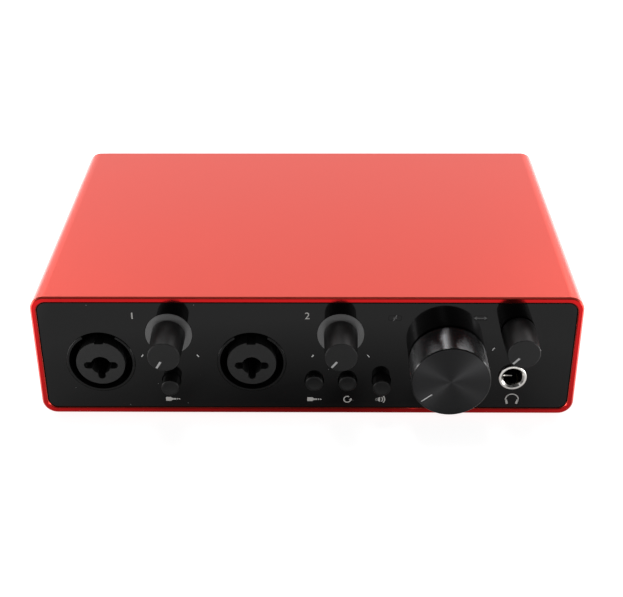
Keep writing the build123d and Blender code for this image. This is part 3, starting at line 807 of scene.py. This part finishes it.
def spin_about(centre: Centre, turn: float) -> Matrix:
    """Return a turn, clockwise as seen from the front, about an axis that runs front to back.

    Args:
        centre: the axis's X and Z.
        turn: how far, in degrees.

    Returns:
        The matrix.
    """
    place = Matrix.Translation((centre[0], 0, centre[1]))
    return place @ Matrix.Rotation(math.radians(turn), 4, "Y") @ place.inverted()


def copy_piece(piece: Piece, name: str, move: Matrix) -> Piece:
    """Copy a piece, with its own mesh, to another place.

    Args:
        piece: the piece to copy.
        name: the copy's name.
        move: what brings it to its place.

    Returns:
        The copy.
    """
    leave_edit_mode()
    twin = piece.copy()
    twin.data = piece.data.copy()
    twin.name = name
    twin.data.name = name
    bpy.context.scene.collection.objects.link(twin)
    twin.data.transform(move)
    return twin


def discard(*pieces: Piece) -> None:
    """Remove patterns that have been copied."""
    for piece in pieces:
        bpy.data.objects.remove(piece)


def axis_of(node: str) -> Centre:
    """Return the X and Z of a round construction piece's axis."""
    low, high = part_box(node)
    return (low.x + high.x) / 2, (low.z + high.z) / 2


def radius_of(node: str) -> float:
    """Return the radius of a round construction piece."""
    low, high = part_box(node)
    return (high.x - low.x) / 2


# ---- Controls ----


@dataclass(frozen=True)
class Pointer:
    """Filled line at the top of a round face, before the face is turned.

    Attributes:
        width: its width.
        length: its length.
        gap: from its outer end to the edge of the face.
        depth: depth of its groove.
        edge: width of the filling's softened edge.
        crown: how far the filling stands out of its edge.
    """

    width: float
    length: float
    gap: float
    depth: float
    edge: float
    crown: float

    def cut(self, piece: Piece, centre: Centre, face_radius: float) -> None:
        """Cut its groove in the front face of a piece.

        Args:
            piece: the piece.
            centre: the axis's X and Z.
            face_radius: radius of the face.
        """
        outer = centre[1] + face_radius - self.gap
        half = self.width / 2
        for place, direction in (
            ((centre[0] - half, 0, 0), (1, 0, 0)),
            ((centre[0] + half, 0, 0), (1, 0, 0)),
            ((0, 0, outer), (0, 0, 1)),
            ((0, 0, outer - self.length), (0, 0, 1)),
        ):
            pick(piece, Pick.FACES, front_face)
            bpy.ops.mesh.bisect(plane_co=place, plane_no=direction)
        middle = (centre[0], outer - self.length / 2)

        def in_groove(face: Face) -> bool:
            """Return whether a face is the groove's strip."""
            return front_face(face) and math.dist((face.center.x, face.center.z), middle) < half

        pick(piece, Pick.FACES, in_groove)
        push(self.depth)

    def fill(self, name: str, centre: Centre, face_radius: float, front: float) -> Piece:
        """Model the filling of the groove.

        Args:
            name: its name.
            centre: the axis's X and Z.
            face_radius: radius of the face.
            front: Y of the face.

        Returns:
            The filling.
        """
        outer = centre[1] + face_radius - self.gap
        start = Vector((centre[0] - self.width / 2, front, outer - self.length))
        end = Vector((centre[0] + self.width / 2, front + self.depth, outer))
        piece = block(name, start, end)
        pick(piece, Pick.FACES, front_face)
        inset(self.edge)
        shift(y=-self.crown)
        return piece


@dataclass(frozen=True)
class KnobPlace:
    """Where a small knob goes.

    Attributes:
        node: the construction piece that it replaces.
        body: the body that it turns with.
        turn: the pointer's place, in degrees clockwise from the top.
    """

    node: str
    body: str
    turn: float


@dataclass
class SmallKnobs:
    """Tapered satin knobs with a filled pointer line near the edge of the face.

    Attributes:
        places: the knobs.
        sides: sides of the blank.
        taper: the face's radius as a share of the base's.
        edge: width of the softened front edge.
        edge_steps: its segments.
        dish: how far the face is dished.
        bore: radius of the shaft's hole.
        bore_depth: its depth.
        pointer: the pointer line.
    """

    places: tuple[KnobPlace, ...] = (
        KnobPlace("gain_knob_1", "gain_control_1", -148.0),
        KnobPlace("gain_knob_2", "gain_control_2", -141.0),
        KnobPlace("phones_knob", "phones_control", -137.0),
    )
    sides: int = 96
    taper: float = 5.1 / 5.4
    edge: float = 0.32 * MM
    edge_steps: int = 4
    dish: float = 0.03 * MM
    bore: float = 3.1 * MM
    bore_depth: float = 9.3 * MM
    pointer: Pointer = Pointer(0.66 * MM, 2.7 * MM, 0.04 * MM, 0.2 * MM, 0.06 * MM, 0.02 * MM)

    def knob(self, node: str, face_radius: float) -> Piece:
        """Model the knob with its pointer groove at the top.

        Args:
            node: the construction piece in whose place it is made.
            face_radius: radius of the dished face.

        Returns:
            The pattern.
        """
        low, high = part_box(node)
        centre, base = axis_of(node), radius_of(node)
        piece = rod("knob_pattern", centre, base, low.y, high.y, self.sides)
        pick(piece, Pick.FACES, front_face)
        taper = (self.taper, 1, self.taper)
        bpy.ops.transform.resize(value=taper, center_override=(centre[0], low.y, centre[1]))
        round_rim(piece, low.y, base / 2, self.edge, self.edge_steps)
        pick(piece, Pick.FACES, front_face)
        inset(self.pointer.gap)
        shift(y=self.dish)
        self.pointer.cut(piece, centre, face_radius)
        pick(piece, Pick.FACES, rear_face)
        inset(base - self.bore)
        push(-self.bore_depth)
        return piece

    def build(self) -> None:
        """Model one knob and copy it to every place."""
        first = self.places[0].node
        centre = axis_of(first)
        face_radius = radius_of(first) * self.taper - self.edge - self.pointer.gap
        knob = self.knob(first, face_radius)
        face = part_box(first)[0].y + self.dish
        line = self.pointer.fill("pointer_pattern", centre, face_radius, face)
        for place in self.places:
            x, z = axis_of(place.node)
            move = Matrix.Translation((x - centre[0], 0, z - centre[1])) @ spin_about(centre, place.turn)
            body = copy_piece(knob, f"{place.node}_body", move)
            finish_piece(body, KNOB_BLACK, place.body, (place.node,))
            pointer = copy_piece(line, f"{place.node}_pointer", move)
            finish_piece(pointer, POINTER_PALE, place.body)
        discard(knob, line)


@dataclass
class MonitorKnob:
    """Large polished knob with a turned metal face and a fine pointer.

    Attributes:
        turn: the pointer's place, in degrees clockwise from the top.
        sides: sides of the blank.
        edge: width of the front chamfer.
        rim: width of the rim round the metal face.
        seat: depth of the seat of the metal face.
        wall: thickness of the wall round the hollow behind.
        hollow: depth of that hollow.
        face_edge: width of the metal face's slanted edge.
        face_rise: how far the metal face stands out of that edge.
        pointer: the pointer line.
    """

    turn: float = -128.5
    sides: int = 192
    edge: float = 0.3 * MM
    rim: float = 0.15 * MM
    seat: float = 0.5 * MM
    wall: float = 3.3 * MM
    hollow: float = 9.3 * MM
    face_edge: float = 0.12 * MM
    face_rise: float = 0.02 * MM
    pointer: Pointer = Pointer(0.34 * MM, 4.2 * MM, 0.5 * MM, 0.1 * MM, 0.05 * MM, 0.01 * MM)

    def shell(self) -> Piece:
        """Model the polished body."""
        low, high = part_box("monitor_knob")
        centre, radius = axis_of("monitor_knob"), radius_of("monitor_knob")
        piece = rod("monitor_knob_body", centre, radius, low.y, high.y, self.sides)
        round_rim(piece, low.y, radius / 2, self.edge, 1)
        pick(piece, Pick.FACES, front_face)
        inset(self.rim)
        push(self.seat)
        pick(piece, Pick.FACES, rear_face)
        inset(self.wall)
        push(-self.hollow)
        return piece

    def face(self) -> Piece:
        """Model the metal face with its pointer groove."""
        low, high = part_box("monitor_knob_disc")
        centre, radius = axis_of("monitor_knob_disc"), radius_of("monitor_knob_disc")
        edge = low.y + self.face_rise
        piece = rod("monitor_knob_face", centre, radius, edge, high.y, self.sides)
        pick(piece, Pick.FACES, front_face)
        inset(self.face_edge)
        shift(y=-self.face_rise)
        self.pointer.cut(piece, centre, radius)
        return piece

    def line(self) -> Piece:
        """Model the filling of the pointer's groove."""
        node = "monitor_knob_disc"
        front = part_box(node)[0].y
        return self.pointer.fill("monitor_knob_pointer", axis_of(node), radius_of(node), front)

    def blacken_edge(self, piece: Piece) -> None:
        """Give the front chamfer and the rim their own smooth black finish.

        Args:
            piece: the body, already dressed.
        """
        piece.data.materials.append(KNOB_EDGE.material())
        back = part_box("monitor_knob")[0].y + self.edge
        for face in piece.data.polygons:
            if face.center.y < back:
                face.material_index = 1

    def build(self) -> None:
        """Model the knob, turn it and hang it on its body."""
        centre = axis_of("monitor_knob")
        face_finish = TurnedFinish(
            "knob_turned_black", (0.038, 0.038, 0.039), 0.5, 1.0, centre=centre, tone=0.15,
            grain_depth=0.0000003, gloss_spread=0.03, spread=0.85,
        )
        for piece, finish, slot, stands_for in (
            (self.shell(), KNOB_GLOSS, "gloss_black", ("monitor_knob",)),
            (self.face(), face_finish, "turned_black", ("monitor_knob_disc",)),
            (self.line(), POINTER_BRIGHT, "light_guide", ()),
        ):
            leave_edit_mode()
            piece.data.transform(spin_about(centre, self.turn))
            finish_piece(piece, finish, "monitor_control", stands_for)
            if finish is KNOB_GLOSS:
                self.blacken_edge(piece)


@dataclass
class PushButtons:
    """Round caps with a soft edge and a shallow dish, each on its stem.

    Attributes:
        front: the construction pieces at the front and their bodies.
        rear: the construction piece at the rear and its body.
        sides: sides of the blank.
        cap: length of the cap.
        stem: radius of the stem.
        edge: width of the softened edge.
        edge_steps: its segments.
        rim: width of the flat rim round the dish.
        dish: depths of the dish's steps.
    """

    front: tuple[tuple[str, str], ...] = (
        ("inst_1_button", "inst_1_key"),
        ("inst_2_button", "inst_2_key"),
        ("loopback_button", "loopback_key"),
        ("direct_monitor_button", "direct_monitor_key"),
    )
    rear: tuple[str, str] = ("phantom_button", "phantom_key")
    sides: int = 64
    cap: float = 6.8 * MM
    stem: float = 1.2 * MM
    edge: float = 0.35 * MM
    edge_steps: int = 4
    rim: float = 0.25 * MM
    dish: tuple[float, ...] = (0.10 * MM, 0.08 * MM, 0.05 * MM, 0.02 * MM)

    @staticmethod
    def tip(node: str, side: int) -> Vector:
        """Return the middle of a button's face.

        Args:
            node: the construction piece.
            side: 0 for a button that looks to the front and 1 for one that looks to the rear.
        """
        x, z = axis_of(node)
        return Vector((x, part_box(node)[side].y, z))

    def pattern(self, node: str) -> Piece:
        """Model the cap in the place of a construction piece.

        Args:
            node: the construction piece.

        Returns:
            The pattern.
        """
        low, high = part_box(node)
        radius = radius_of(node)
        piece = rod("button_pattern", axis_of(node), radius, low.y, low.y + self.cap, self.sides)
        round_rim(piece, low.y, radius / 2, self.edge, self.edge_steps)
        pick(piece, Pick.FACES, front_face)
        inset(self.rim)
        step = (radius - self.edge - self.rim) / (len(self.dish) + 1)
        for depth in self.dish:
            inset(step)
            shift(y=depth)
        pick(piece, Pick.FACES, rear_face)
        inset(radius - self.stem)
        push(high.y - low.y - self.cap)
        return piece

    def build(self) -> None:
        """Model one cap and copy it to every front button, then to the rear one."""
        first = self.front[0][0]
        pattern = self.pattern(first)
        home = Matrix.Translation(-self.tip(first, 0))
        about = Matrix.Rotation(math.pi, 4, "Z")
        moves = [(node, body, Matrix.Translation(self.tip(node, 0))) for node, body in self.front]
        moves.append((*self.rear, Matrix.Translation(self.tip(self.rear[0], 1)) @ about))
        for node, body, move in moves:
            cap = copy_piece(pattern, f"{node}_cap", move @ home)
            finish_piece(cap, BUTTON_BLACK, body, (node,))
        discard(pattern)


@dataclass
class HeadphoneSocket:
    """Plated ring of the headphone socket, spun from its section, and the spring seen in its hole.

    Attributes:
        hole: radius of the hole.
        outer_round: radius of the outer front edge.
        round_steps: its segments.
        countersink: width of the inner front chamfer.
        spin_steps: steps of the spin.
        smooth_angle: edges flatter than this, in degrees, are shaded smooth.
        tip_start: the spring's tip, from the ring's axis and face: its left end, front and underside.
        tip_end: its right end, back and top.
        tip_leg: width of the leg.
        tip_taper: size of its right end in depth and height, as a share.
        tip_droop: how far its right end hangs down.
    """

    hole: float = 3.2 * MM
    outer_round: float = 0.35 * MM
    round_steps: int = 5
    countersink: float = 0.55 * MM
    spin_steps: int = 96
    smooth_angle: float = 25.0
    tip_start: Place = (-2.9 * MM, 3.5 * MM, -1.5 * MM)
    tip_end: Place = (0.35 * MM, 3.8 * MM, -1.15 * MM)
    tip_leg: float = 0.4 * MM
    tip_taper: tuple[float, float] = (0.6, 0.5)
    tip_droop: float = 0.05 * MM

    def build(self) -> None:
        """Make the ring, then the tip of its spring."""
        self.ring()
        self.spring_tip()

    def spring_tip(self) -> None:
        """Model the spring's tip, with the leg that runs back along the wall to its strip."""
        x, z = axis_of("headphone_ring")
        strip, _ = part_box("headphone_contact")
        origin = Vector((x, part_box("headphone_ring")[0].y, z))
        start, end = origin + Vector(self.tip_start), origin + Vector(self.tip_end)
        piece = block("headphone_spring_tip", start, end)
        leg = start.x + self.tip_leg

        def root_of_leg(face: Face) -> bool:
            """Return whether a face is the rear one, near the wall."""
            return rear_face(face) and face.center.x < leg

        def right_end(face: Face) -> bool:
            """Return whether a face is the end near the ring's axis."""
            return face.normal.x > SQUARE_ON and face.center.x > x

        pick(piece, Pick.FACES, rear_face)
        bpy.ops.mesh.bisect(plane_co=(leg, 0, 0), plane_no=(1, 0, 0))
        pick(piece, Pick.FACES, root_of_leg)
        push(strip.y - end.y)
        shift(z=strip.z - start.z)
        pick(piece, Pick.FACES, right_end)
        bpy.ops.transform.resize(value=(1, *self.tip_taper))
        shift(z=-self.tip_droop)
        # The tip is the spring's real end; its brighter, paler metal is a painted highlight.
        finish_piece(piece, CONTACT_PAINTED_HIGHLIGHT, "case")

    def ring(self) -> None:
        """Draw the section, round its front corners and spin it."""
        low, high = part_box("headphone_ring")
        (x, z), outer = axis_of("headphone_ring"), radius_of("headphone_ring")
        start, end = Vector((x + self.hole, low.y, z)), Vector((x + outer, high.y, z))
        piece = section("headphone_ring_plated", start, end)
        for corner_x, width, steps in (
            (x + outer, self.outer_round, self.round_steps),
            (x + self.hole, self.countersink, 1),
        ):
            corner = Vector((corner_x, low.y, z))
            pick(piece, Pick.VERTICES, lambda vertex: (vertex.co - corner).length < SAME_PLACE)
            bpy.ops.mesh.bevel(offset=width, segments=steps, affect="VERTICES")
        bpy.ops.mesh.select_mode(type="FACE")
        bpy.ops.mesh.select_all(action="SELECT")
        bpy.ops.mesh.delete(type="ONLY_FACE")
        bpy.ops.mesh.select_mode(type="EDGE")
        bpy.ops.mesh.select_all(action="SELECT")
        bpy.ops.mesh.spin(steps=self.spin_steps, angle=math.tau, center=(x, 0, z), axis=(0, 1, 0))
        close_spin()
        stands_for = ("headphone_ring",)
        finish_piece(piece, RING_METAL, "case", stands_for, self.smooth_angle)


# ---- Printed marks ----

PRINT_DEPTH = 0.02 * MM
PRINT_LINE = 0.36 * MM
ARC_STEP = 7.5
FEWEST_ARC_STEPS = 6
ORIGIN = (0.0, 0.0)


@dataclass(frozen=True)
class Stroke:
    """One stroke of a mark. Its lengths are in millimetres and its turns in degrees.

    Attributes:
        x: its middle, to the right of the mark's.
        z: its middle, above the mark's.
    """

    x: float
    z: float

    def draw(self, front: float, back: float) -> Piece:
        """Model its shape about the origin.

        Args:
            front: Y of its front.
            back: Y of its back.

        Returns:
            The shape.
        """
        raise NotImplementedError


@dataclass(frozen=True)
class Bar(Stroke):
    """A straight bar.

    Attributes:
        length: its length, across before it is turned.
        width: its width.
        turn: how far it is turned, anticlockwise as seen from the front.
    """

    length: float
    width: float
    turn: float = 0.0

    def draw(self, front: float, back: float) -> Piece:
        """Model the bar."""
        across, up = self.length / 2 * MM, self.width / 2 * MM
        piece = block("bar", Vector((-across, front, -up)), Vector((across, back, up)))
        piece.data.transform(spin_about(ORIGIN, -self.turn))
        return piece


@dataclass(frozen=True)
class Arc(Stroke):
    """An arc.

    Attributes:
        radius: radius of its middle line.
        start: where it begins, anticlockwise from the right.
        end: where it ends.
    """

    radius: float
    start: float
    end: float

    def draw(self, front: float, back: float) -> Piece:
        """Model the arc by spinning its section."""
        middle, half = self.radius * MM, PRINT_LINE / 2
        piece = section("arc", Vector((middle - half, front, 0)), Vector((middle + half, back, 0)))
        piece.data.transform(spin_about(ORIGIN, -self.start))
        turn = self.end - self.start
        steps = max(FEWEST_ARC_STEPS, round(turn / ARC_STEP))
        bpy.ops.object.mode_set(mode="EDIT")
        bpy.ops.mesh.select_all(action="SELECT")
        bpy.ops.mesh.spin(steps=steps, angle=math.radians(turn), center=(0, 0, 0), axis=(0, 1, 0))
        close_spin()
        return piece


@dataclass(frozen=True)
class Triangle(Stroke):
    """A filled triangle.

    Attributes:
        radius: from its middle to its corners.
        turn: where its first corner points, anticlockwise from the right.
    """

    radius: float
    turn: float

    def draw(self, front: float, back: float) -> Piece:
        """Model the triangle."""
        piece = rod("triangle", ORIGIN, self.radius * MM, front, back, 3)
        corner = max(piece.data.vertices, key=lambda vertex: vertex.co.z).co
        now = math.degrees(math.atan2(corner.z, corner.x))
        piece.data.transform(spin_about(ORIGIN, now - self.turn))
        return piece


@dataclass(frozen=True)
class Digit(Stroke):
    """A plain number.

    Attributes:
        text: the number.
        height: its height.
    """

    text: str
    height: float

    def draw(self, front: float, back: float) -> Piece:
        """Model the number out of text that lies flat."""
        bench()
        bpy.ops.object.text_add(location=(0, 0, 0))
        letter = bpy.context.active_object.data
        letter.body = self.text
        letter.extrude = 0.5
        bpy.ops.object.convert(target="MESH")
        piece = bpy.context.active_object
        low, high = extent([vertex.co for vertex in piece.data.vertices])
        size = self.height * MM / (high.y - low.y)
        sized = Matrix.Diagonal((size, (back - front) / (high.z - low.z), size, 1))
        upright = Matrix.Rotation(math.pi / 2, 4, "X")
        place = Matrix.Translation((0, (front + back) / 2, 0))
        piece.data.transform(place @ sized @ upright @ Matrix.Translation(-(low + high) / 2))
        return piece


def scale_ends(
    radius: float, length: float, below: float = 42.4, lean: float = 51.0
) -> tuple[Stroke, ...]:
    """Return the ticks at the two ends of a knob's scale.

    Args:
        radius: from the knob's axis to the middle of a tick, in millimetres.
        length: length of a tick, in millimetres.
        below: how far below the horizontal they lie, in degrees.
        lean: how far each is turned, in degrees.

    Returns:
        The left tick and the right one.
    """
    x, z = radius * math.cos(math.radians(below)), -radius * math.sin(math.radians(below))
    return tuple(Bar(side * x, z, length, 0.32, -side * lean) for side in (-1, 1))


GAIN_SCALE = scale_ends(12.15, 1.0)
PHONES_SCALE = scale_ends(10.0, 1.25)
ONE = (Bar(0, 0, 0.42, 2.3),)
TWO = (Digit(0, 0, "2", 2.4),)
PLUG = tuple(
    Bar((start + end) / 2, 0, end - start, width)
    for start, end, width in (
        (-2.35, -0.55, 1.5),
        (-0.55, -0.15, 0.9),
        (-0.15, 0.95, 0.55),
        (1.2, 1.55, 0.55),
        (1.8, 2.35, 0.4),
    )
)
LOOP = (Arc(0, 0, 1.15, 60, 350), Triangle(1.12, -0.05, 0.6, 80))
SPEAKER = (
    Bar(-1.3, 0, 0.7, 0.9),
    Triangle(-0.75, 0, 1.1, 180),
    Arc(-0.6, 0, 1.2, -45, 45),
    Arc(-0.6, 0, 1.9, -45, 45),
)
HEADPHONES = (Arc(0, 0, 2.1, -12, 192), Bar(-1.7, -0.9, 0.66, 1.7, 14), Bar(1.7, -0.9, 0.66, 1.7, -14))
BOLT = (Bar(0.25, 0.5, 1.1, 0.3, 60), Bar(0, 0, 1.1, 0.3), Bar(-0.25, -0.5, 1.1, 0.3, 60))
ARROWS = (Bar(0, 0, 2.6, 0.3), Triangle(1.5, 0, 0.65, 0), Triangle(-1.5, 0, 0.65, 180))


@dataclass(frozen=True)
class Sign:
    """A mark printed on the fascia: a number, a scale or a pictogram.

    Attributes:
        name: its name.
        finish: its finish.
        strokes: what it is drawn with.
        x: its middle, from the control's axis or else from the fascia's, in millimetres.
        z: its middle, above the sleeve's underside, in millimetres; None for the control's own height.
        node: the control that it belongs to.
    """

    name: str
    finish: Finish
    strokes: tuple[Stroke, ...]
    x: float = 0.0
    z: float | None = None
    node: str = ""

    def show(self) -> None:
        """Print its strokes and join them."""
        x, z = axis_of(self.node) if self.node else ORIGIN
        if self.z is not None:
            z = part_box("sleeve")[0].z + self.z * MM
        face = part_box("front_panel")[0].y
        pieces = []
        for stroke in self.strokes:
            piece = stroke.draw(face - PRINT_DEPTH, face)
            leave_edit_mode()
            place = (x + (self.x + stroke.x) * MM, 0, z + stroke.z * MM)
            piece.data.transform(Matrix.Translation(place))
            pieces.append(piece)
        bench()
        for piece in pieces:
            piece.select_set(True)
        bpy.context.view_layer.objects.active = pieces[0]
        if len(pieces) > 1:
            bpy.ops.object.join()
        whole = bpy.context.active_object
        whole.name = self.name
        whole.data.name = self.name
        finish_piece(whole, self.finish, "case")


SIGNS: tuple[Sign, ...] = (
    Sign("channel_1_number", PRINT_PALE, ONE, -55.3, 37.4),
    Sign("channel_2_number", PRINT_PALE, TWO, 0.25, 37.5),
    Sign("gain_1_scale", PRINT_BRIGHT, GAIN_SCALE, node="gain_knob_1"),
    Sign("gain_2_scale", PRINT_BRIGHT, GAIN_SCALE, node="gain_knob_2"),
    Sign("phones_scale", PRINT_BRIGHT, PHONES_SCALE, node="phones_knob"),
    Sign("instrument_1_sign", PRINT_PALE, PLUG, 0, 5.5, "inst_1_button"),
    Sign("instrument_2_sign", PRINT_PALE, PLUG, 0, 5.5, "inst_2_button"),
    Sign("loopback_sign", PRINT_PALE, LOOP, 0, 5.5, "loopback_button"),
    Sign("direct_monitor_sign", PRINT_PALE, SPEAKER, 0, 5.5, "direct_monitor_button"),
    Sign("headphone_sign", PRINT_PALE, HEADPHONES, 0.5, 5.6, "headphone_ring"),
    Sign("phantom_sign", PRINT_DIM, BOLT, 28.05, 36.7),
    Sign("data_sign", PRINT_DIM, ARROWS, 55.05, 36.7),
)


# ---- Surroundings ----


@dataclass(frozen=True)
class Lamp:
    """A rectangular softbox that faces the object.

    Attributes:
        name: its name.
        place: where it hangs, from the object's middle.
        size: its width and height.
        watts: its power.
    """

    name: str
    place: Place
    size: tuple[float, float]
    watts: float

    def hang(self, aim: Vector) -> None:
        """Hang it.

        Args:
            aim: the object's middle, which it faces.
        """
        data = bpy.data.lights.new(self.name, "AREA")
        data.shape = "RECTANGLE"
        data.size, data.size_y = self.size
        data.energy = self.watts
        lamp = bpy.data.objects.new(self.name, data)
        bpy.context.scene.collection.objects.link(lamp)
        lamp.location = aim + Vector(self.place)
        lamp.rotation_mode = "QUATERNION"
        lamp.rotation_quaternion = (-Vector(self.place)).to_track_quat("-Z", "Y")


@dataclass
class Studio:
    """Pale floor, soft lamps and the camera.

    Attributes:
        camera_place: where the camera stands.
        camera_down: how far it looks down, in degrees.
        camera_turn: how far it is turned to the left, in degrees.
        camera_roll: its roll, in degrees.
        lens_mm: its focal length.
        sensor_mm: width of its sensor.
        clip_start: the nearest distance that it sees.
        fill: strength of the world's light.
        back_level: the world's strength in reflections, towards the back.
        front_level: the world's strength in reflections, towards the front.
        ceiling_level: the world's strength in reflections, overhead and high at the front.
        ceiling: the Z of a direction where the change to the ceiling starts, and where it ends.
        bright_walls: where the world's reflections turn from the front's strength to the back's:
            the axis of the direction, and its values at the start and the end of the change.
        front_panel: a lighter panel low in front, which the object shows only to the back: the same
            three values for each change that bounds it.
        panel_level: the strength that this panel adds.
        floor_size: the floor's width and depth.
        floor_tone: the floor's own grey.
        floor_glow: how much the floor adds to what the camera sees of it.
        floor_mirrored_glow: how much it adds to its reflections.
        painted_shadow_near: distance from the front within which it adds the least to them; this is a
            painted shadow of the object in the floor's reflections.
        painted_shadow_far: distance from which it adds all of it.
        painted_shadow_level: the least that it adds, as a share, in that painted shadow.
        painted_shadow_squash: how much less a distance to the side counts than one to the front.
        side_glow: how much more it adds to them well to the left and right, as a share; this is painted
            light in its reflections.
        side_near: distance from the middle where that begins.
        side_far: distance from which it adds all of that.
        lamps: the softboxes.
    """

    camera_place: Place = (0.00588, -0.37825, 0.23474)
    camera_down: float = 30.072
    camera_turn: float = 0.747
    camera_roll: float = -0.297
    lens_mm: float = 69.49
    sensor_mm: float = 36.0
    clip_start: float = 0.01
    fill: float = 0.3
    back_level: float = 1.0
    front_level: float = 0.12
    ceiling_level: float = 0.04
    ceiling: tuple[float, float] = (0.5, 0.7)
    bright_walls: Changes = (
        ("Y", 0.72, 0.8),
        ("X", 0.88, 0.96),
        ("X", -0.88, -0.96),
    )
    front_panel: Changes = (
        ("Z", 0.04, 0.14),
        ("Z", 0.52, 0.42),
        ("Y", -0.25, -0.4),
    )
    panel_level: float = 0.3
    floor_size: float = 8.0
    floor_tone: float = 0.35
    floor_glow: float = 0.9
    floor_mirrored_glow: float = 0.52
    painted_shadow_near: float = 0.006
    painted_shadow_far: float = 0.05
    painted_shadow_level: float = 0.08
    painted_shadow_squash: float = 0.42
    side_glow: float = 3.6
    side_near: float = 0.10
    side_far: float = 0.16
    lamps: tuple[Lamp, ...] = (
        Lamp("strip", (-0.105, 0.22, 1.18), (0.23, 0.6), 5.8),
        Lamp("left_softbox", (-0.67, 0.6, 0.75), (0.7, 0.5), 2.0),
        Lamp("right_softbox", (0.7, 0.6, 0.75), (0.75, 0.5), 3.8),
        Lamp("left_reflector", (-0.9, -0.5, 0.05), (0.8, 0.12), 3.2),
        Lamp("right_reflector", (0.9, -0.5, 0.05), (0.8, 0.12), 3.2),
    )

    def camera(self) -> None:
        """Place the camera."""
        data = bpy.data.cameras.new("camera")
        data.sensor_width = self.sensor_mm
        data.lens = self.lens_mm
        data.clip_start = self.clip_start
        camera = bpy.data.objects.new("camera", data)
        bpy.context.scene.collection.objects.link(camera)
        turn = Matrix.Rotation(math.radians(self.camera_turn), 4, "Z")
        tilt = Matrix.Rotation(math.radians(90 - self.camera_down), 4, "X")
        roll = Matrix.Rotation(math.radians(self.camera_roll), 4, "Z")
        camera.matrix_world = Matrix.Translation(self.camera_place) @ turn @ tilt @ roll
        bpy.context.scene.camera = camera

    def floor(self) -> None:
        """Make the pale floor, which shows white and keeps a soft shadow."""
        bpy.ops.mesh.primitive_plane_add(size=self.floor_size, location=(0, 0, 0))
        floor = bpy.context.active_object
        floor.name = "floor"
        material = bpy.data.materials.new("floor_white")
        material.use_nodes = True
        tree = material.node_tree
        tree.nodes.remove(tree.nodes["Principled BSDF"])
        wires = Wiring(tree)
        path = wires.add("LightPath")
        level = wires.maths("MULTIPLY", path["Is Camera Ray"], self.floor_glow)
        for ray in ("Is Glossy Ray", "Is Transmission Ray"):
            level = wires.maths("MULTIPLY_ADD", path[ray], self.floor_mirrored_glow, level)
        # Reflections see the floor's glow dimmed near the object's front, a painted shadow, and raised
        # well to the sides, painted light.
        share = wires.maths("MAXIMUM", path["Is Camera Ray"], self.glow_share(wires))
        glow = wires.add("Emission", {"Strength": wires.maths("MULTIPLY", level, share)})
        matt = wires.add("BsdfDiffuse", {"Color": (*[self.floor_tone] * 3, 1)})
        both = wires.add("AddShader", {0: matt["BSDF"], 1: glow["Emission"]})
        wires.feed(tree.nodes["Material Output"].inputs["Surface"], both["Shader"])
        floor.data.materials.append(material)

    def glow_share(self, wires: Wiring) -> Socket:
        """Return the share of its glow that a point of the floor adds to reflections.

        Args:
            wires: the wiring of the floor's nodes.

        Returns:
            The least share close to the object's front, which paints the object's shadow into the
            floor's reflections, 1 well away from it, and more at the sides, which paints light there.
        """
        place = wires.place()
        squashed = wires.work("VectorMath", "MULTIPLY", place, (self.painted_shadow_squash, 1.0, 1.0))["Vector"]
        front = (0.0, cad_bounds[0].y, 0.0)
        away = wires.work("VectorMath", "DISTANCE", squashed, front)["Value"]
        # Painted shadow: less glow in reflections close to the object's front.
        reach = wires.change(away, self.painted_shadow_near, self.painted_shadow_far, self.painted_shadow_level)
        aside = wires.maths("ABSOLUTE", wires.add("SeparateXYZ", {"Vector": place})["X"])
        sides = wires.change(aside, self.side_near, self.side_far, 0.0, self.side_glow)
        return wires.maths("ADD", sides, reach)

    @staticmethod
    def region(wires: Wiring, direction: Sockets, bounds: Changes, operation: str) -> Socket:
        """Return how far a direction lies within a region of the world.

        Args:
            wires: the wiring of the world's nodes.
            direction: the direction's X, Y and Z.
            bounds: the region's changes: an axis, and its values at the start and the end.
            operation: "MAXIMUM" to join the changes, or "MINIMUM" to keep what they share.

        Returns:
            The socket: 1 within the region and 0 outside it.
        """
        within, *others = (wires.change(direction[axis], start, end) for axis, start, end in bounds)
        for other in others:
            within = wires.maths(operation, within, other)
        return within

    def world(self) -> None:
        """White to the eye and, at the back and the sides, in reflections; a plain level of light."""
        world = bpy.data.worlds.new("studio")
        bpy.context.scene.world = world
        world.use_nodes = True
        shader = world.node_tree.nodes["Background"].inputs
        wires = Wiring(world.node_tree)
        direction = wires.add("SeparateXYZ", {"Vector": wires.add("TexCoord")["Generated"]})
        bright = self.region(wires, direction, self.bright_walls, "MAXIMUM")
        panel = self.region(wires, direction, self.front_panel, "MINIMUM")
        front = wires.change(direction["Z"], *self.ceiling, self.front_level, self.ceiling_level)
        dark = wires.maths("MULTIPLY_ADD", panel, self.panel_level, front)
        room = wires.mix(bright, dark, self.back_level)
        path = wires.add("LightPath")
        mirrored = wires.maths("MAXIMUM", path["Is Glossy Ray"], path["Is Transmission Ray"])
        reflected = wires.mix(mirrored, self.fill, room)
        wires.feed(shader["Color"], (1, 1, 1, 1))
        wires.feed(shader["Strength"], wires.mix(path["Is Camera Ray"], reflected, 1.0))

    def build(self) -> None:
        """Make the whole studio."""
        self.camera()
        self.floor()
        self.world()
        centre = (cad_bounds[0] + cad_bounds[1]) / 2
        for lamp in self.lamps:
            lamp.hang(centre)
        log.info("studio ready")


def main() -> None:
    """Build the looks in order."""
    logging.basicConfig(level=logging.INFO, format="%(message)s")
    bpy.context.scene.view_settings.view_transform = "Standard"
    dress_frame()
    SmallKnobs().build()
    MonitorKnob().build()
    PushButtons().build()
    HeadphoneSocket().build()
    for sign in SIGNS:
        sign.show()
    Studio().build()


if __name__ == "__main__":
    main()
